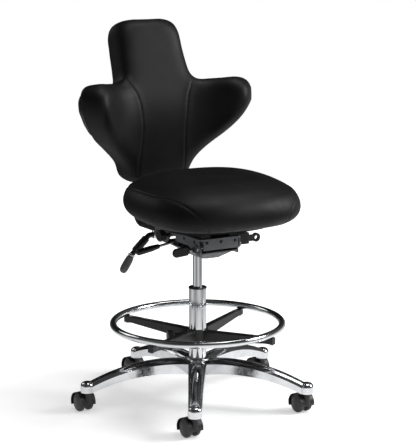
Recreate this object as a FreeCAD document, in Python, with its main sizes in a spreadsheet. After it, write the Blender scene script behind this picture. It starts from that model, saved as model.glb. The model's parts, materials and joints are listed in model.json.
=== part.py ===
import FreeCAD, Part

# Surgeon's chair: five-leg base on twin-wheel casters, gas lift with foot ring,
# tilting seat with depth slide, and a reclining winged backrest.
# The origin is on the floor under the column, +Z is up and the sitter faces -Y.

import math
import os
import re

import Sketcher

Vector = FreeCAD.Vector
Placement = FreeCAD.Placement
Rotation = FreeCAD.Rotation
UP = Vector(0, 0, 1)
ACROSS = Vector(1, 0, 0)
ALONG = Vector(0, 1, 0)

# Driving dimensions in millimetres, angles in degrees
SIZES = {
    # fits between pieces
    "running_fit": 0.05,
    "loose_fit": 0.3,
    # star base
    "tip_height": 61,
    "base_reach": 330,
    "leg_heading": -121.3,
    "leg_top": 141,
    "leg_apex": 100,
    "leg_root_width": 54,
    "leg_tip_width": 38,
    "leg_tip_depth": 31,
    "leg_crown": 13,
    "leg_wall": 5,
    "tip_radius": 20,
    "tip_boss": 31,
    "tip_rounding": 14,
    "hub_radius": 36,
    "hub_bottom": 97,
    "hub_top": 138,
    "hub_rounding": 4,
    # casters
    "stem_radius": 5.5,
    "stem_socket": 22,
    "stem_seat": 20,
    "stem_chamfer": 1,
    "caster_heading": 5,
    "caster_trail": 24,
    "caster_boss_radius": 9.5,
    "wheel_radius": 27,
    "wheel_width": 16.5,
    "wheel_rounding": 4,
    "wheel_dome_radius": 70,
    "wheel_cap": 5,
    "web_half": 7.5,
    "hood_gap": 1,
    "hood_wall": 1.8,
    "hood_rear_angle": -22,
    "hood_front_angle": 190,
    "axle_radius": 3,
    # column and gas lift
    "column_radius": 25,
    "column_wall": 2,
    "column_taper": 1.5,
    "column_bottom": 66,
    "column_floor": 4,
    "column_top": 344,
    "bush_length": 70,
    "bush_lip": 1.5,
    "bush_lip_height": 4,
    "rod_radius": 5,
    "rod_tail": 6,
    "clip_radius": 9,
    "clip_height": 2,
    "clip_groove": 0.8,
    "bearing_radius": 13,
    "bearing_height": 7,
    "bearing_groove": 2,
    "rod_shoulder": 3,
    "piston_bottom": 292,
    "piston_height": 12,
    "cylinder_radius": 14,
    "cylinder_wall": 3,
    "cylinder_bottom": 140,
    "cylinder_end": 12,
    "cylinder_top": 485,
    "taper_drop": 1.2,
    "pin_radius": 2.5,
    "pin_head_radius": 4,
    "pin_travel": 3,
    "pin_head": 4.7,
    # foot ring
    "ring_radius": 245,
    "ring_tube": 10,
    "ring_height": 240,
    "ring_heading": -61.3,
    "collet_wall": 2,
    "ring_hub_wall": 3.5,
    "ring_hub_bottom": 186,
    "ring_hub_top": 223,
    "spoke_root_height": 34,
    "spoke_root_width": 22,
    "spoke_tip_height": 20,
    "spoke_tip_width": 17,
    "spoke_overhang": -3,
    "spoke_rounding": 3,
    "ring_screw_radius": 2.5,
    "ring_screw_head": 5,
    "clamp_angle": 225,
    "clamp_boss_radius": 9,
    "clamp_boss_reach": 70,
    "clamp_screw_radius": 4,
    "clamp_knob_radius": 18,
    "clamp_knob_length": 20,
    "clamp_knob_lobes": 6,
    # tilt mechanism
    "pan_bottom": 448,
    "pan_rim": 474,
    "pan_floor_half": 30,
    "pan_floor_front": -85,
    "pan_floor_rear": 26,
    "pan_half": 62,
    "pan_front": -125,
    "pan_rear": 100,
    "pan_corner": 16,
    "pan_wall": 3,
    "pan_lip": 3,
    "socket_wall": 5,
    "socket_drop": 3,
    "tilt_y": -112,
    "tilt_z": 488,
    "tilt_pin_radius": 6,
    "pin_head_thickness": 4,
    "pin_head_flange": 4,
    "ear_radius": 12,
    "ear_wall": 4,
    "coil_wire": 2,
    "coil_half": 40,
    "coil_turns": 8,
    # seat frame and depth slide
    "plate_bottom": 510,
    "plate_wall": 4,
    "flange_wall": 3,
    "plate_front": -132,
    "plate_rear": 138,
    "plate_corner": 12,
    "flange_shallow": 5,
    "flange_deep": 36,
    "flange_deep_front": 30,
    "flange_notch_front": 8,
    "apron_bottom": 482,
    "recline_y": 120,
    "rail_x": 44,
    "rail_half": 13,
    "rail_wall": 2.5,
    "rail_height": 16,
    "rail_front": -125,
    "rail_rear": 120,
    "runner_height": 10,
    "runner_wing": 34,
    "seat_bolt_radius": 3,
    "seat_bolt_head": 5.5,
    "seat_bolt_y": 85,
    # seat
    "seat_centre_y": -80,
    "seat_width": 476,
    "seat_length": 430,
    "seat_bow": 22,
    "seat_corner": 160,
    "seat_crown_z": 684,
    "seat_roundness": 2.75,
    "seat_edge": 140,
    "seat_slope": 3,
    "board_thickness": 14,
    "board_inset": 90,
    # back bar
    "bar_z": 480,
    "bar_offset": 16,
    "bar_thickness": 8,
    "bar_width": 50,
    "bar_bend": 45,
    "bar_top": 168,
    "bar_cap": 4,
    "pivot_tube_radius": 10,
    # backrest
    "back_foot_y": 220,
    "back_bottom": 621,
    "back_depth": 84,
    "shell_depth": 12,
    "shell_inset": 12,
    "back_flat_half": 70,
    "wing_bend": 150,
    "wing_angle": 42,
    "back_lean": 9,
    "back_straight": 150,
    "recline_arc": 170,
    "recline_angle": 24,
    "head_arc_start": 400,
    "head_arc": 90,
    "head_angle": 8,
    "back_top": 483,
    "head_half": 97,
    "head_corner": 62,
    "neck_half": 108,
    "neck_height": 310,
    "neck_corner": 25,
    "wing_half": 233,
    "wing_top": 315,
    "wing_low": 239,
    "wing_corner": 38,
    "wing_under_half": 208,
    "wing_under": 189,
    "wing_under_corner": 60,
    "waist_half": 105,
    "waist_height": 50,
    "waist_corner": 85,
    "back_foot_half": 91,
    "back_foot_corner": 30,
    "back_front_rounding": 26,
    "back_rear_rounding": 20,
    "shell_rounding": 6,
    "sleeve_half": 34,
    "sleeve_depth": 28,
    "sleeve_bottom": 32,
    "sleeve_height": 118,
    "sleeve_corner": 6,
    "sleeve_wing": 22,
    "sleeve_wing_depth": 6,
    "back_bolt_radius": 3,
    "back_bolt_head": 5.5,
    "back_bolt_inset": 22,
    "back_bolt_grip": 8,
    # levers and knobs
    "lever_rod": 4,
    "lever_pivot_x": -34,
    "lever_pivot_pin": 2.5,
    "lever_cheek": 3,
    "lever_cheek_half": 9,
    "tilt_lever_y": 26,
    "tilt_lever_z": 487,
    "tilt_lever_reach": 154,
    "tilt_lever_drop": 9.5,
    "tilt_grip_length": 74,
    "tilt_grip_radius": 9,
    "height_lever_y": -86,
    "height_lever_x": -84,
    "height_lever_drop": 20,
    "height_lever_knee": 18,
    "height_lever_shoulder": 24,
    "paddle_length": 46,
    "paddle_half": 13,
    "paddle_thickness": 9,
    "back_lever_collar": 12,
    "back_lever_collar_length": 9,
    "back_lever_chamfer": 2,
    "back_lever_rod": 8,
    "back_lever_knee": 12.8,
    "back_lever_bend": 12,
    "back_lever_out": 56,
    "back_lever_down": 51,
    "back_tip_out": 36,
    "back_tip_down": 54,
    "back_tip_radius": 13,
    "back_tip_length": 54,
    "tension_y": 50,
    "tension_z": 498,
    "tension_screw": 5,
    "tension_gap": 8,
    "tension_radius": 17,
    "tension_length": 22,
    "tension_lobes": 7,
    "latch_y": -70,
    "latch_half": 20,
    "latch_bottom": 478,
    "latch_pivot_rise": 12,
    "latch_pivot_inset": 13.5,
    "latch_length": 52,
    "depth_arm_half": 9,
    "depth_arm_thickness": 8,
    "depth_arm_reach": 47,
    "loop_radius": 13,
    "loop_hole": 6,
    # shares of another size of the same piece
    "knob_root_share": 0.7,
    "knob_flare_share": 0.3,
    "flute_place_share": 1.25,
    "flute_radius_share": 0.36,
    "bolt_head_share": 0.6,
    "tilt_grip_root_share": 0.75,
    "tilt_grip_flare_share": 0.35,
    "back_tip_flare_share": 0.55,
    "paddle_neck_share": 0.5,
    "paddle_heel_share": 0.6,
}

doc = FreeCAD.newDocument("surgeon_chair")
sheet = doc.addObject("Spreadsheet::Sheet", "Sizes")
for row, (size_name, number) in enumerate(SIZES.items(), 1):
    sheet.set(f"A{row}", size_name)
    sheet.set(f"B{row}", str(number))
    sheet.setAlias(f"B{row}", size_name)
doc.recompute()

PIECES = []


def in_sheet(text):
    """An expression whose size names point at the sheet's cells."""
    return re.sub(
        r"\b[a-z]\w*\b",
        lambda word: "Sizes." + word.group() if word.group() in SIZES else word.group(),
        str(text),
    )


def value(text):
    """What an expression comes to with the sheet's present sizes."""
    return float(sheet.evalExpression(in_sheet(text)))


def bind(thing, property_name, text):
    thing.setExpression(property_name, in_sheet(text))


def keep(thing, name):
    """Names a finished sub-part, whose shape goes into its own file."""
    thing.Label = name
    PIECES.append(thing)
    return thing


def place(thing, x="0", y="0", z="0", turn="0", axis=UP):
    """Binds where a piece stands and how far it is turned about an axis."""
    thing.Placement = Placement(Vector(), Rotation(axis, value(turn) or 0.001))
    bind(thing, "Placement.Base.x", x)
    bind(thing, "Placement.Base.y", y)
    bind(thing, "Placement.Base.z", z)
    bind(thing, "Placement.Rotation.Angle", turn)
    return thing


def new_body(name):
    return doc.addObject("PartDesign::Body", name)


def origin_feature(body, role):
    return next(item for item in body.Origin.OriginFeatures if item.Role == role)


def arc_between(start, end, radius, turn):
    """The arc from start to end that bends left (turn 1) or right (turn -1)."""
    chord = end - start
    left = Vector(-chord.y, chord.x, 0).normalize()
    height = math.sqrt(max(radius**2 - (chord.Length / 2) ** 2, 0))
    centre = (start + end) * 0.5 + left * (turn * height)
    first = math.atan2(start.y - centre.y, start.x - centre.x)
    last = math.atan2(end.y - centre.y, end.x - centre.x)
    circle = Part.Circle(centre, UP, radius)
    if turn > 0:
        return Part.ArcOfCircle(circle, first, last)
    return Part.ArcOfCircle(circle, last, first)


def add_loop(sketch, outline):
    """Draws a closed loop. Each vertex is (x, y), or (x, y, radius, turn) where an arc leaves it."""
    first = sketch.GeometryCount
    count = len(outline)
    spots = [Vector(value(vertex[0]), value(vertex[1]), 0) for vertex in outline]
    for index, vertex in enumerate(outline):
        start, end = spots[index], spots[(index + 1) % count]
        if len(vertex) > 2:
            sketch.addGeometry(arc_between(start, end, value(vertex[2]), vertex[3]))
        else:
            sketch.addGeometry(Part.LineSegment(start, end))

    def ends(index):
        backwards = len(outline[index]) > 2 and outline[index][3] < 0
        return (2, 1) if backwards else (1, 2)

    for index in range(count):
        after = (index + 1) % count
        sketch.addConstraint(
            Sketcher.Constraint(
                "Coincident", first + index, ends(index)[1], first + after, ends(after)[0]
            )
        )
    for index, vertex in enumerate(outline):
        for kind, part in (("DistanceX", 0), ("DistanceY", 1)):
            number = sketch.addConstraint(
                Sketcher.Constraint(
                    kind, -1, 1, first + index, ends(index)[0], spots[index][part]
                )
            )
            bind(sketch, f"Constraints[{number}]", vertex[part])
        if len(vertex) > 2:
            number = sketch.addConstraint(
                Sketcher.Constraint("Radius", first + index, value(vertex[2]))
            )
            bind(sketch, f"Constraints[{number}]", vertex[2])


def add_circle(sketch, x, y, radius):
    """Draws a circle that is bound in place and size."""
    spot = Vector(value(x), value(y), 0)
    circle = sketch.addGeometry(Part.Circle(spot, UP, value(radius)))
    for kind, text, part in (("DistanceX", x, 0), ("DistanceY", y, 1)):
        number = sketch.addConstraint(
            Sketcher.Constraint(kind, -1, 1, circle, 3, spot[part])
        )
        bind(sketch, f"Constraints[{number}]", text)
    number = sketch.addConstraint(Sketcher.Constraint("Radius", circle, value(radius)))
    bind(sketch, f"Constraints[{number}]", radius)


def add_sketch(body, role, name, loops=(), circles=(), offset="0"):
    """A sketch on one of the body's own planes, moved along the plane's normal by offset."""
    sketch = body.newObject("Sketcher::SketchObject", name)
    sketch.AttachmentSupport = [(origin_feature(body, role), "")]
    sketch.MapMode = "FlatFace"
    bind(sketch, "AttachmentOffset.Base.z", offset)
    for outline in loops:
        add_loop(sketch, outline)
    for circle in circles:
        add_circle(sketch, *circle)
    doc.recompute()
    return sketch


def extrude(body, kind, name, sketch, length, symmetric=False, reverse=False):
    """A Pad or a Pocket of a sketch."""
    feature = body.newObject(f"PartDesign::{kind}", name)
    feature.Profile = sketch
    bind(feature, "Length", length)
    feature.Reversed = reverse
    if symmetric:
        feature.SideType = "Symmetric"
    doc.recompute()
    return feature


def revolve(body, kind, name, sketch):
    """A Revolution or a Groove of a sketch about its own vertical axis."""
    feature = body.newObject(f"PartDesign::{kind}", name)
    feature.Profile = sketch
    feature.ReferenceAxis = (sketch, ["V_Axis"])
    feature.Angle = 360
    doc.recompute()
    return feature


def loft(body, kind, name, sections):
    feature = body.newObject(f"PartDesign::{kind}", name)
    feature.Profile = sections[0]
    feature.Sections = sections[1:]
    doc.recompute()
    return feature


def fillet(body, name, base, wanted, radius):
    """Rounds those edges of a feature that the test picks."""
    names = [
        f"Edge{number}"
        for number, edge in enumerate(base.Shape.Edges, 1)
        if wanted(edge)
    ]
    feature = body.newObject("PartDesign::Fillet", name)
    feature.Base = (base, names)
    bind(feature, "Radius", radius)
    doc.recompute()
    return feature


def polar(body, name, originals, count):
    """Repeats features, or the whole body so far, about Z."""
    pattern = body.newObject("PartDesign::PolarPattern", name)
    if originals:
        pattern.Originals = originals
    else:
        pattern.TransformMode = "Whole shape"
    pattern.Axis = (origin_feature(body, "Z_Axis"), [""])
    pattern.Angle = 360
    pattern.Occurrences = count
    body.Tip = pattern
    doc.recompute()
    return pattern


def turned(name, profile):
    """A body turned about Z from a half profile of (radius, height) vertices."""
    body = new_body(name)
    revolve(body, "Revolution", f"{name}_turned", add_sketch(body, "XZ_Plane", f"{name}_profile", [profile]))
    return body


def rounded_rectangle(left, right, front, rear, radius):
    """A rectangle outline with quarter-circle corners."""
    return [
        (f"{left} + {radius}", front),
        (f"{right} - {radius}", front, radius, 1),
        (right, f"{front} + {radius}"),
        (right, f"{rear} - {radius}", radius, 1),
        (f"{right} - {radius}", rear),
        (f"{left} + {radius}", rear, radius, 1),
        (left, f"{rear} - {radius}"),
        (left, f"{front} + {radius}", radius, 1),
    ]


# Star base
LEGS = 5
LEG_STATIONS = (0, 0.2, 0.45, 0.72, 1)
leg_start = "(column_radius + running_fit + leg_wall / 2)"
leg_end = "(base_reach - tip_radius / 2)"
leg_end_top = "(tip_height + leg_tip_depth)"


def leg_section(body, share):
    """One section of the channel-shaped leg, at a share of the way from hub to tip."""
    radius = f"({leg_start} + {share} * ({leg_end} - {leg_start}))"
    fall = f"(leg_top - {leg_end_top}) * (({radius} - leg_apex) / ({leg_end} - leg_apex))^2"
    crest = f"(leg_top - {fall})"
    depth = f"((leg_top - hub_bottom) * (1 - {share}) + leg_tip_depth * {share})"
    half = f"((leg_root_width * (1 - {share}) + leg_tip_width * {share}) / 2)"
    crown = f"(({half}^2 + leg_crown^2) / (2 * leg_crown))"
    shoulder = f"({crest} - leg_crown)"
    floor = f"({crest} - {depth})"
    inner = f"({half} - leg_wall)"
    outline = [
        (half, floor),
        (half, shoulder, crown, 1),
        (f"-{half}", shoulder),
        (f"-{half}", floor),
        (f"-{inner}", floor),
        (f"-{inner}", shoulder),
        (inner, shoulder),
        (inner, floor),
    ]
    return add_sketch(body, "YZ_Plane", "leg_section", [outline], offset=radius)


def make_star_base():
    body = new_body("star_base_body")
    boss_circle = add_sketch(
        body, "XY_Plane", "tip_circle", circles=[("base_reach", "0", "tip_radius")], offset="tip_height"
    )
    boss = extrude(body, "Pad", "tip", boss_circle, "tip_boss")
    tip_top = value("tip_height + tip_boss")
    fillet(
        body, "tip_edge", boss, lambda edge: abs(edge.CenterOfMass.z - tip_top) < 0.01, "tip_rounding"
    )
    sections = [leg_section(body, share) for share in LEG_STATIONS]
    loft(body, "AdditiveLoft", "leg", sections)
    socket_circle = add_sketch(
        body,
        "XY_Plane",
        "socket_circle",
        circles=[("base_reach", "0", "stem_radius + running_fit")],
        offset="tip_height",
    )
    extrude(body, "Pocket", "stem_socket", socket_circle, "stem_socket", reverse=True)
    polar(body, "legs", None, LEGS)
    hub_profile = [
        ("column_radius - column_taper / 2", "hub_bottom"),
        ("hub_radius", "hub_bottom"),
        ("hub_radius", "hub_top - hub_rounding", "hub_rounding", 1),
        ("hub_radius - hub_rounding", "hub_top"),
        ("column_radius - column_taper / 2", "hub_top"),
    ]
    revolve(body, "Revolution", "hub", add_sketch(body, "XZ_Plane", "hub_profile", [hub_profile]))
    bore_profile = [
        ("0", "column_bottom"),
        ("column_radius - column_taper + running_fit", "column_bottom"),
        ("column_radius + running_fit", "hub_top"),
        ("column_radius + running_fit", "hub_top + hub_rounding"),
        ("0", "hub_top + hub_rounding"),
    ]
    revolve(body, "Groove", "hub_bore", add_sketch(body, "XZ_Plane", "bore_profile", [bore_profile]))
    place(body, turn="leg_heading")
    return keep(body, "star_base")


# Column, its bush and the gas lift
column_inner = "(column_radius - column_wall)"
taper_top = "hub_top"
shoulder_bottom = "(column_bottom + column_floor + bearing_height)"
cylinder_bore = "(cylinder_radius - cylinder_wall)"
taper_bottom = "(pan_bottom - socket_drop)"
pin_head_bottom = "(cylinder_top + pin_travel + loose_fit)"
pin_top = f"({pin_head_bottom} + pin_head)"


def make_column():
    tube = turned("stand_tube_body", [
        ("rod_radius + running_fit", "column_bottom"),
        ("column_radius - column_taper", "column_bottom"),
        ("column_radius", taper_top),
        ("column_radius", "column_top"),
        (column_inner, "column_top"),
        (column_inner, taper_top),
        (f"{column_inner} - column_taper", "column_bottom + column_floor"),
        ("rod_radius + running_fit", "column_bottom + column_floor"),
    ])
    keep(tube, "stand_tube")
    bush = turned("column_bush_body", [
        ("cylinder_radius + running_fit", "column_top - bush_length"),
        (f"{column_inner} - running_fit", "column_top - bush_length"),
        (f"{column_inner} - running_fit", "column_top"),
        ("column_radius + bush_lip", "column_top"),
        ("column_radius + bush_lip", "column_top + bush_lip_height - bush_lip", "bush_lip", 1),
        ("column_radius", "column_top + bush_lip_height"),
        ("cylinder_radius + running_fit", "column_top + bush_lip_height"),
    ])
    keep(bush, "column_bush")
    bearing = turned("thrust_bearing_body", [
        ("rod_radius + running_fit", "column_bottom + column_floor"),
        ("bearing_radius", "column_bottom + column_floor"),
        ("bearing_radius", "column_bottom + column_floor + bearing_height / 3"),
        ("bearing_radius - bearing_groove", "column_bottom + column_floor + bearing_height / 3"),
        ("bearing_radius - bearing_groove", "column_bottom + column_floor + bearing_height * 2 / 3"),
        ("bearing_radius", "column_bottom + column_floor + bearing_height * 2 / 3"),
        ("bearing_radius", f"{shoulder_bottom} - running_fit"),
        ("rod_radius + running_fit", f"{shoulder_bottom} - running_fit"),
    ])
    keep(bearing, "thrust_bearing")


def make_gas_lift():
    clip_top = "(column_bottom - running_fit)"
    rod = turned("piston_rod_body", [
        ("0", "column_bottom - rod_tail"),
        ("rod_radius", "column_bottom - rod_tail"),
        ("rod_radius", f"{clip_top} - clip_height"),
        ("rod_radius - clip_groove", f"{clip_top} - clip_height"),
        ("rod_radius - clip_groove", clip_top),
        ("rod_radius", clip_top),
        ("rod_radius", shoulder_bottom),
        ("rod_radius + rod_shoulder", shoulder_bottom),
        ("rod_radius + rod_shoulder", f"{shoulder_bottom} + rod_shoulder"),
        ("rod_radius", f"{shoulder_bottom} + rod_shoulder"),
        ("rod_radius", "piston_bottom"),
        (f"{cylinder_bore} - running_fit", "piston_bottom"),
        (f"{cylinder_bore} - running_fit", "piston_bottom + piston_height"),
        ("0", "piston_bottom + piston_height"),
    ])
    keep(rod, "piston_rod")
    clip = turned("rod_clip_body", [
        ("rod_radius - clip_groove + running_fit", f"{clip_top} - clip_height"),
        ("clip_radius", f"{clip_top} - clip_height"),
        ("clip_radius", clip_top),
        ("rod_radius - clip_groove + running_fit", clip_top),
    ])
    keep(clip, "rod_clip")
    cylinder = turned("gas_cylinder_body", [
        ("rod_radius + running_fit", "cylinder_bottom"),
        ("cylinder_radius", "cylinder_bottom"),
        ("cylinder_radius", taper_bottom),
        ("cylinder_radius - taper_drop", "cylinder_top"),
        ("pin_radius + running_fit", "cylinder_top"),
        ("pin_radius + running_fit", "cylinder_top - cylinder_end"),
        (cylinder_bore, "cylinder_top - cylinder_end"),
        (cylinder_bore, "cylinder_bottom + cylinder_end"),
        ("rod_radius + running_fit", "cylinder_bottom + cylinder_end"),
    ])
    keep(cylinder, "gas_cylinder")
    pin = turned("release_pin_body", [
        ("0", "cylinder_top - cylinder_end"),
        ("pin_radius", "cylinder_top - cylinder_end"),
        ("pin_radius", pin_head_bottom),
        ("pin_head_radius", pin_head_bottom),
        ("pin_head_radius", pin_top),
        ("0", pin_top),
    ])
    keep(pin, "release_pin")


# Casters
hood_radius = "(wheel_radius + hood_gap + hood_wall)"
hood_inner = "(wheel_radius + hood_gap)"
boss_top = "(tip_height - loose_fit)"


def caster_place(thing, number):
    """Stands a caster piece under its leg tip, with all casters heading one way."""
    angle = f"(leg_heading + {360 * number / LEGS}) * 1 deg"
    return place(
        thing,
        f"base_reach * cos({angle})",
        f"base_reach * sin({angle})",
        "0",
        "caster_heading",
    )


def hood_point(angle):
    return (
        f"caster_trail + {hood_radius} * cos({angle} * 1 deg)",
        f"wheel_radius + {hood_radius} * sin({angle} * 1 deg)",
    )


def make_caster_hood(number):
    body = new_body(f"caster_hood_body_{number}")
    rear, front = hood_point("hood_rear_angle"), hood_point("hood_front_angle")
    crest = ("caster_trail", f"wheel_radius + {hood_radius}")
    outline = [(*rear, hood_radius, 1), (*crest, hood_radius, 1), front]
    side = add_sketch(body, "YZ_Plane", "hood_side", [outline])
    extrude(body, "Pad", "hood", side, "2 * (web_half + wheel_width)", symmetric=True)
    boss = add_sketch(
        body, "XY_Plane", "boss_circle", circles=[("0", "0", "caster_boss_radius")], offset="wheel_radius"
    )
    extrude(body, "Pad", "stem_boss", boss, f"{boss_top} - wheel_radius")
    for side_name, sign, backwards in (("left", "-", False), ("right", "", True)):
        wheel_space = add_sketch(
            body,
            "YZ_Plane",
            f"wheel_space_{side_name}",
            circles=[("caster_trail", "wheel_radius", hood_inner)],
            offset=f"{sign}web_half",
        )
        extrude(
            body, "Pocket", f"wheel_room_{side_name}", wheel_space, "2 * wheel_width", reverse=backwards
        )
    axle_circle = add_sketch(
        body,
        "YZ_Plane",
        "axle_circle",
        circles=[("caster_trail", "wheel_radius", "axle_radius + running_fit / 2")],
    )
    extrude(body, "Pocket", "axle_hole", axle_circle, "4 * web_half", symmetric=True)
    stem_circle = add_sketch(
        body,
        "XY_Plane",
        "stem_circle",
        circles=[("0", "0", "stem_radius + running_fit / 2")],
        offset=f"{boss_top} - stem_seat",
    )
    extrude(body, "Pocket", "stem_hole", stem_circle, "2 * stem_seat", reverse=True)
    return keep(caster_place(body, number), f"caster_hood_{number}")


def make_caster_pins(number):
    """The steel stem and axle that are pressed into one hood."""
    foot = f"({boss_top} - stem_seat)"
    tip = "(tip_height + stem_socket - loose_fit)"
    stem = turned(f"caster_stem_body_{number}", [
        ("0", foot),
        ("stem_radius", foot),
        ("stem_radius", f"{tip} - stem_chamfer"),
        ("stem_radius - stem_chamfer", tip),
        ("0", tip),
    ])
    axle = new_body(f"caster_axle_body_{number}")
    circle = add_sketch(
        axle, "YZ_Plane", "axle_section", circles=[("caster_trail", "wheel_radius", "axle_radius")]
    )
    extrude(
        axle, "Pad", "axle", circle, "2 * (web_half + wheel_width - wheel_cap - loose_fit)", symmetric=True
    )
    pins = doc.addObject("Part::Compound", f"caster_pins_group_{number}")
    pins.Links = [caster_place(stem, number), caster_place(axle, number)]
    return keep(pins, f"caster_pins_{number}")


def make_caster_wheel(number, side_name):
    """A wheel with a domed outer face. It is turned about Z, so its axle is drawn upright."""
    body = new_body(f"caster_wheel_{side_name}_body_{number}")
    inner, outer = "loose_fit", "wheel_width"
    shoulder = "(wheel_radius - wheel_rounding)"
    rim = f"({outer} - wheel_dome_radius + sqrt(wheel_dome_radius^2 - {shoulder}^2))"
    bore = "axle_radius + running_fit"
    profile = [
        (bore, inner),
        (shoulder, inner, "wheel_rounding", 1),
        ("wheel_radius", f"{inner} + wheel_rounding"),
        ("wheel_radius", f"{rim} - wheel_rounding", "wheel_rounding", 1),
        (shoulder, rim, "wheel_dome_radius", 1),
        ("0", outer),
        ("0", f"{outer} - wheel_cap"),
        (bore, f"{outer} - wheel_cap"),
    ]
    revolve(body, "Revolution", "wheel", add_sketch(body, "XZ_Plane", "wheel_profile", [profile]))
    return body, f"caster_wheel_{side_name}_{number}"


def place_wheel(body, name, number, sign):
    """Lays a wheel on its axle, beside the web of its caster."""
    angle = f"(leg_heading + {360 * number / LEGS}) * 1 deg"
    side = f"({sign} * web_half)"
    heading = Rotation(UP, value("caster_heading"))
    body.Placement = Placement(Vector(), heading * Rotation(ALONG, 90 * sign))
    bind(
        body,
        "Placement.Base.x",
        f"base_reach * cos({angle}) + {side} * cos(caster_heading * 1 deg) "
        f"- caster_trail * sin(caster_heading * 1 deg)",
    )
    bind(
        body,
        "Placement.Base.y",
        f"base_reach * sin({angle}) + {side} * sin(caster_heading * 1 deg) "
        f"+ caster_trail * cos(caster_heading * 1 deg)",
    )
    bind(body, "Placement.Base.z", "wheel_radius")
    return keep(body, name)


def make_casters():
    for number in range(LEGS):
        make_caster_hood(number)
        make_caster_pins(number)
        for side_name, sign in (("left", 1), ("right", -1)):
            wheel, name = make_caster_wheel(number, side_name)
            place_wheel(wheel, name, number, sign)


# Foot ring
SPOKES = 4
collet_radius = "(column_radius + running_fit + collet_wall)"
ring_bore = f"({collet_radius} + running_fit)"
ring_hub_radius = f"({ring_bore} + ring_hub_wall)"
ring_under = "(ring_height - ring_tube - loose_fit)"
spoke_end = "(ring_radius + ring_tube + spoke_overhang)"


def spoke_section(body, name, radius, bottom, height, width):
    outline = rounded_rectangle(
        f"-{width} / 2", f"{width} / 2", bottom, f"({bottom} + {height})", "spoke_rounding"
    )
    return add_sketch(body, "YZ_Plane", name, [outline], offset=radius)


def make_foot_ring():
    collet = turned("foot_ring_collet_body", [
        ("column_radius + running_fit", "ring_hub_bottom"),
        (collet_radius, "ring_hub_bottom"),
        (collet_radius, "ring_hub_top"),
        ("column_radius + running_fit", "ring_hub_top"),
    ])
    keep(place(collet, turn="ring_heading"), "foot_ring_collet")

    tube = doc.addObject("Part::Torus", "foot_ring_tube_torus")
    bind(tube, "Radius1", "ring_radius")
    bind(tube, "Radius2", "ring_tube")
    keep(place(tube, z="ring_height", turn="ring_heading"), "foot_ring_tube")

    body = new_body("spider_body")
    middle = "((ring_hub_bottom + ring_hub_top) / 2)"
    spoke_bend = "(ring_radius - 2 * ring_tube)"
    root = spoke_section(
        body, "spoke_root", f"{ring_bore} + ring_hub_wall / 2",
        f"({middle} - spoke_root_height / 2)", "spoke_root_height", "spoke_root_width",
    )
    tip_size = (f"({ring_under} - spoke_tip_height)", "spoke_tip_height", "spoke_tip_width")
    tip = spoke_section(body, "spoke_tip", spoke_bend, *tip_size)
    end = spoke_section(body, "spoke_end", spoke_end, *tip_size)
    first = loft(body, "AdditiveLoft", "spoke", [root, tip])
    second = loft(body, "AdditiveLoft", "spoke_foot", [tip, end])
    screw_circle = add_sketch(
        body, "XY_Plane", "screw_circle",
        circles=[("ring_radius", "0", "ring_screw_radius + loose_fit / 2")], offset=ring_under,
    )
    screw_hole = extrude(body, "Pocket", "screw_hole", screw_circle, "2 * spoke_tip_height")
    polar(body, "spokes", [first, second, screw_hole], SPOKES)
    hub_profile = [
        (ring_bore, "ring_hub_bottom"),
        (ring_hub_radius, "ring_hub_bottom"),
        (ring_hub_radius, "ring_hub_top"),
        (ring_bore, "ring_hub_top"),
    ]
    revolve(body, "Revolution", "ring_hub", add_sketch(body, "XZ_Plane", "ring_hub_profile", [hub_profile]))
    place(body, turn="ring_heading")

    def clamp_part(name, radius, start, length):
        """A cylinder along the clamp screw, starting at a distance from the column's axis."""
        piece = doc.addObject("Part::Cylinder", name)
        bind(piece, "Radius", radius)
        bind(piece, "Height", length)
        return aim_clamp(piece, start)

    def aim_clamp(piece, start):
        heading = "((ring_heading + clamp_angle) * 1 deg)"
        turn = Rotation(UP, value("ring_heading + clamp_angle"))
        piece.Placement = Placement(Vector(), turn * Rotation(ALONG, 90))
        bind(piece, "Placement.Base.x", f"({start}) * cos({heading})")
        bind(piece, "Placement.Base.y", f"({start}) * sin({heading})")
        bind(piece, "Placement.Base.z", middle)
        return piece

    boss_start = f"({ring_bore} + ring_hub_wall / 4)"
    boss = clamp_part("clamp_boss", "clamp_boss_radius", boss_start, f"clamp_boss_reach - {boss_start}")
    hole_start = f"({ring_bore} - ring_hub_wall / 2)"
    hole = clamp_part("clamp_hole", "clamp_screw_radius + running_fit", hole_start, "clamp_boss_reach")
    solid = doc.addObject("Part::Fuse", "spider_with_boss")
    solid.Base, solid.Tool = body, boss
    drilled = doc.addObject("Part::Cut", "foot_ring_spider_cut")
    drilled.Base, drilled.Tool = solid, hole
    keep(drilled, "foot_ring_spider")

    screws = new_body("foot_ring_screws_body")
    screws.AllowCompound = True
    screw_head = f"({ring_under} - spoke_tip_height)"
    head_circle = add_sketch(
        screws, "XY_Plane", "head_circle",
        circles=[("ring_radius", "0", "ring_screw_head")], offset=screw_head,
    )
    extrude(screws, "Pad", "screw_head", head_circle, "ring_screw_head / 2", reverse=True)
    shank_circle = add_sketch(
        screws, "XY_Plane", "shank_circle",
        circles=[("ring_radius", "0", "ring_screw_radius")], offset=screw_head,
    )
    extrude(screws, "Pad", "screw_shank", shank_circle, f"{ring_under} - {screw_head}")
    polar(screws, "screws", None, SPOKES)
    keep(place(screws, turn="ring_heading"), "foot_ring_screws")

    knob = new_body("foot_ring_knob_body")
    make_knob(knob, "clamp_screw_radius", f"clamp_boss_reach - {ring_bore} + loose_fit", "clamp_knob_radius",
              "clamp_knob_length", "clamp_knob_lobes")
    keep(aim_clamp(knob, f"{ring_bore} + running_fit"), "foot_ring_knob")


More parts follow.
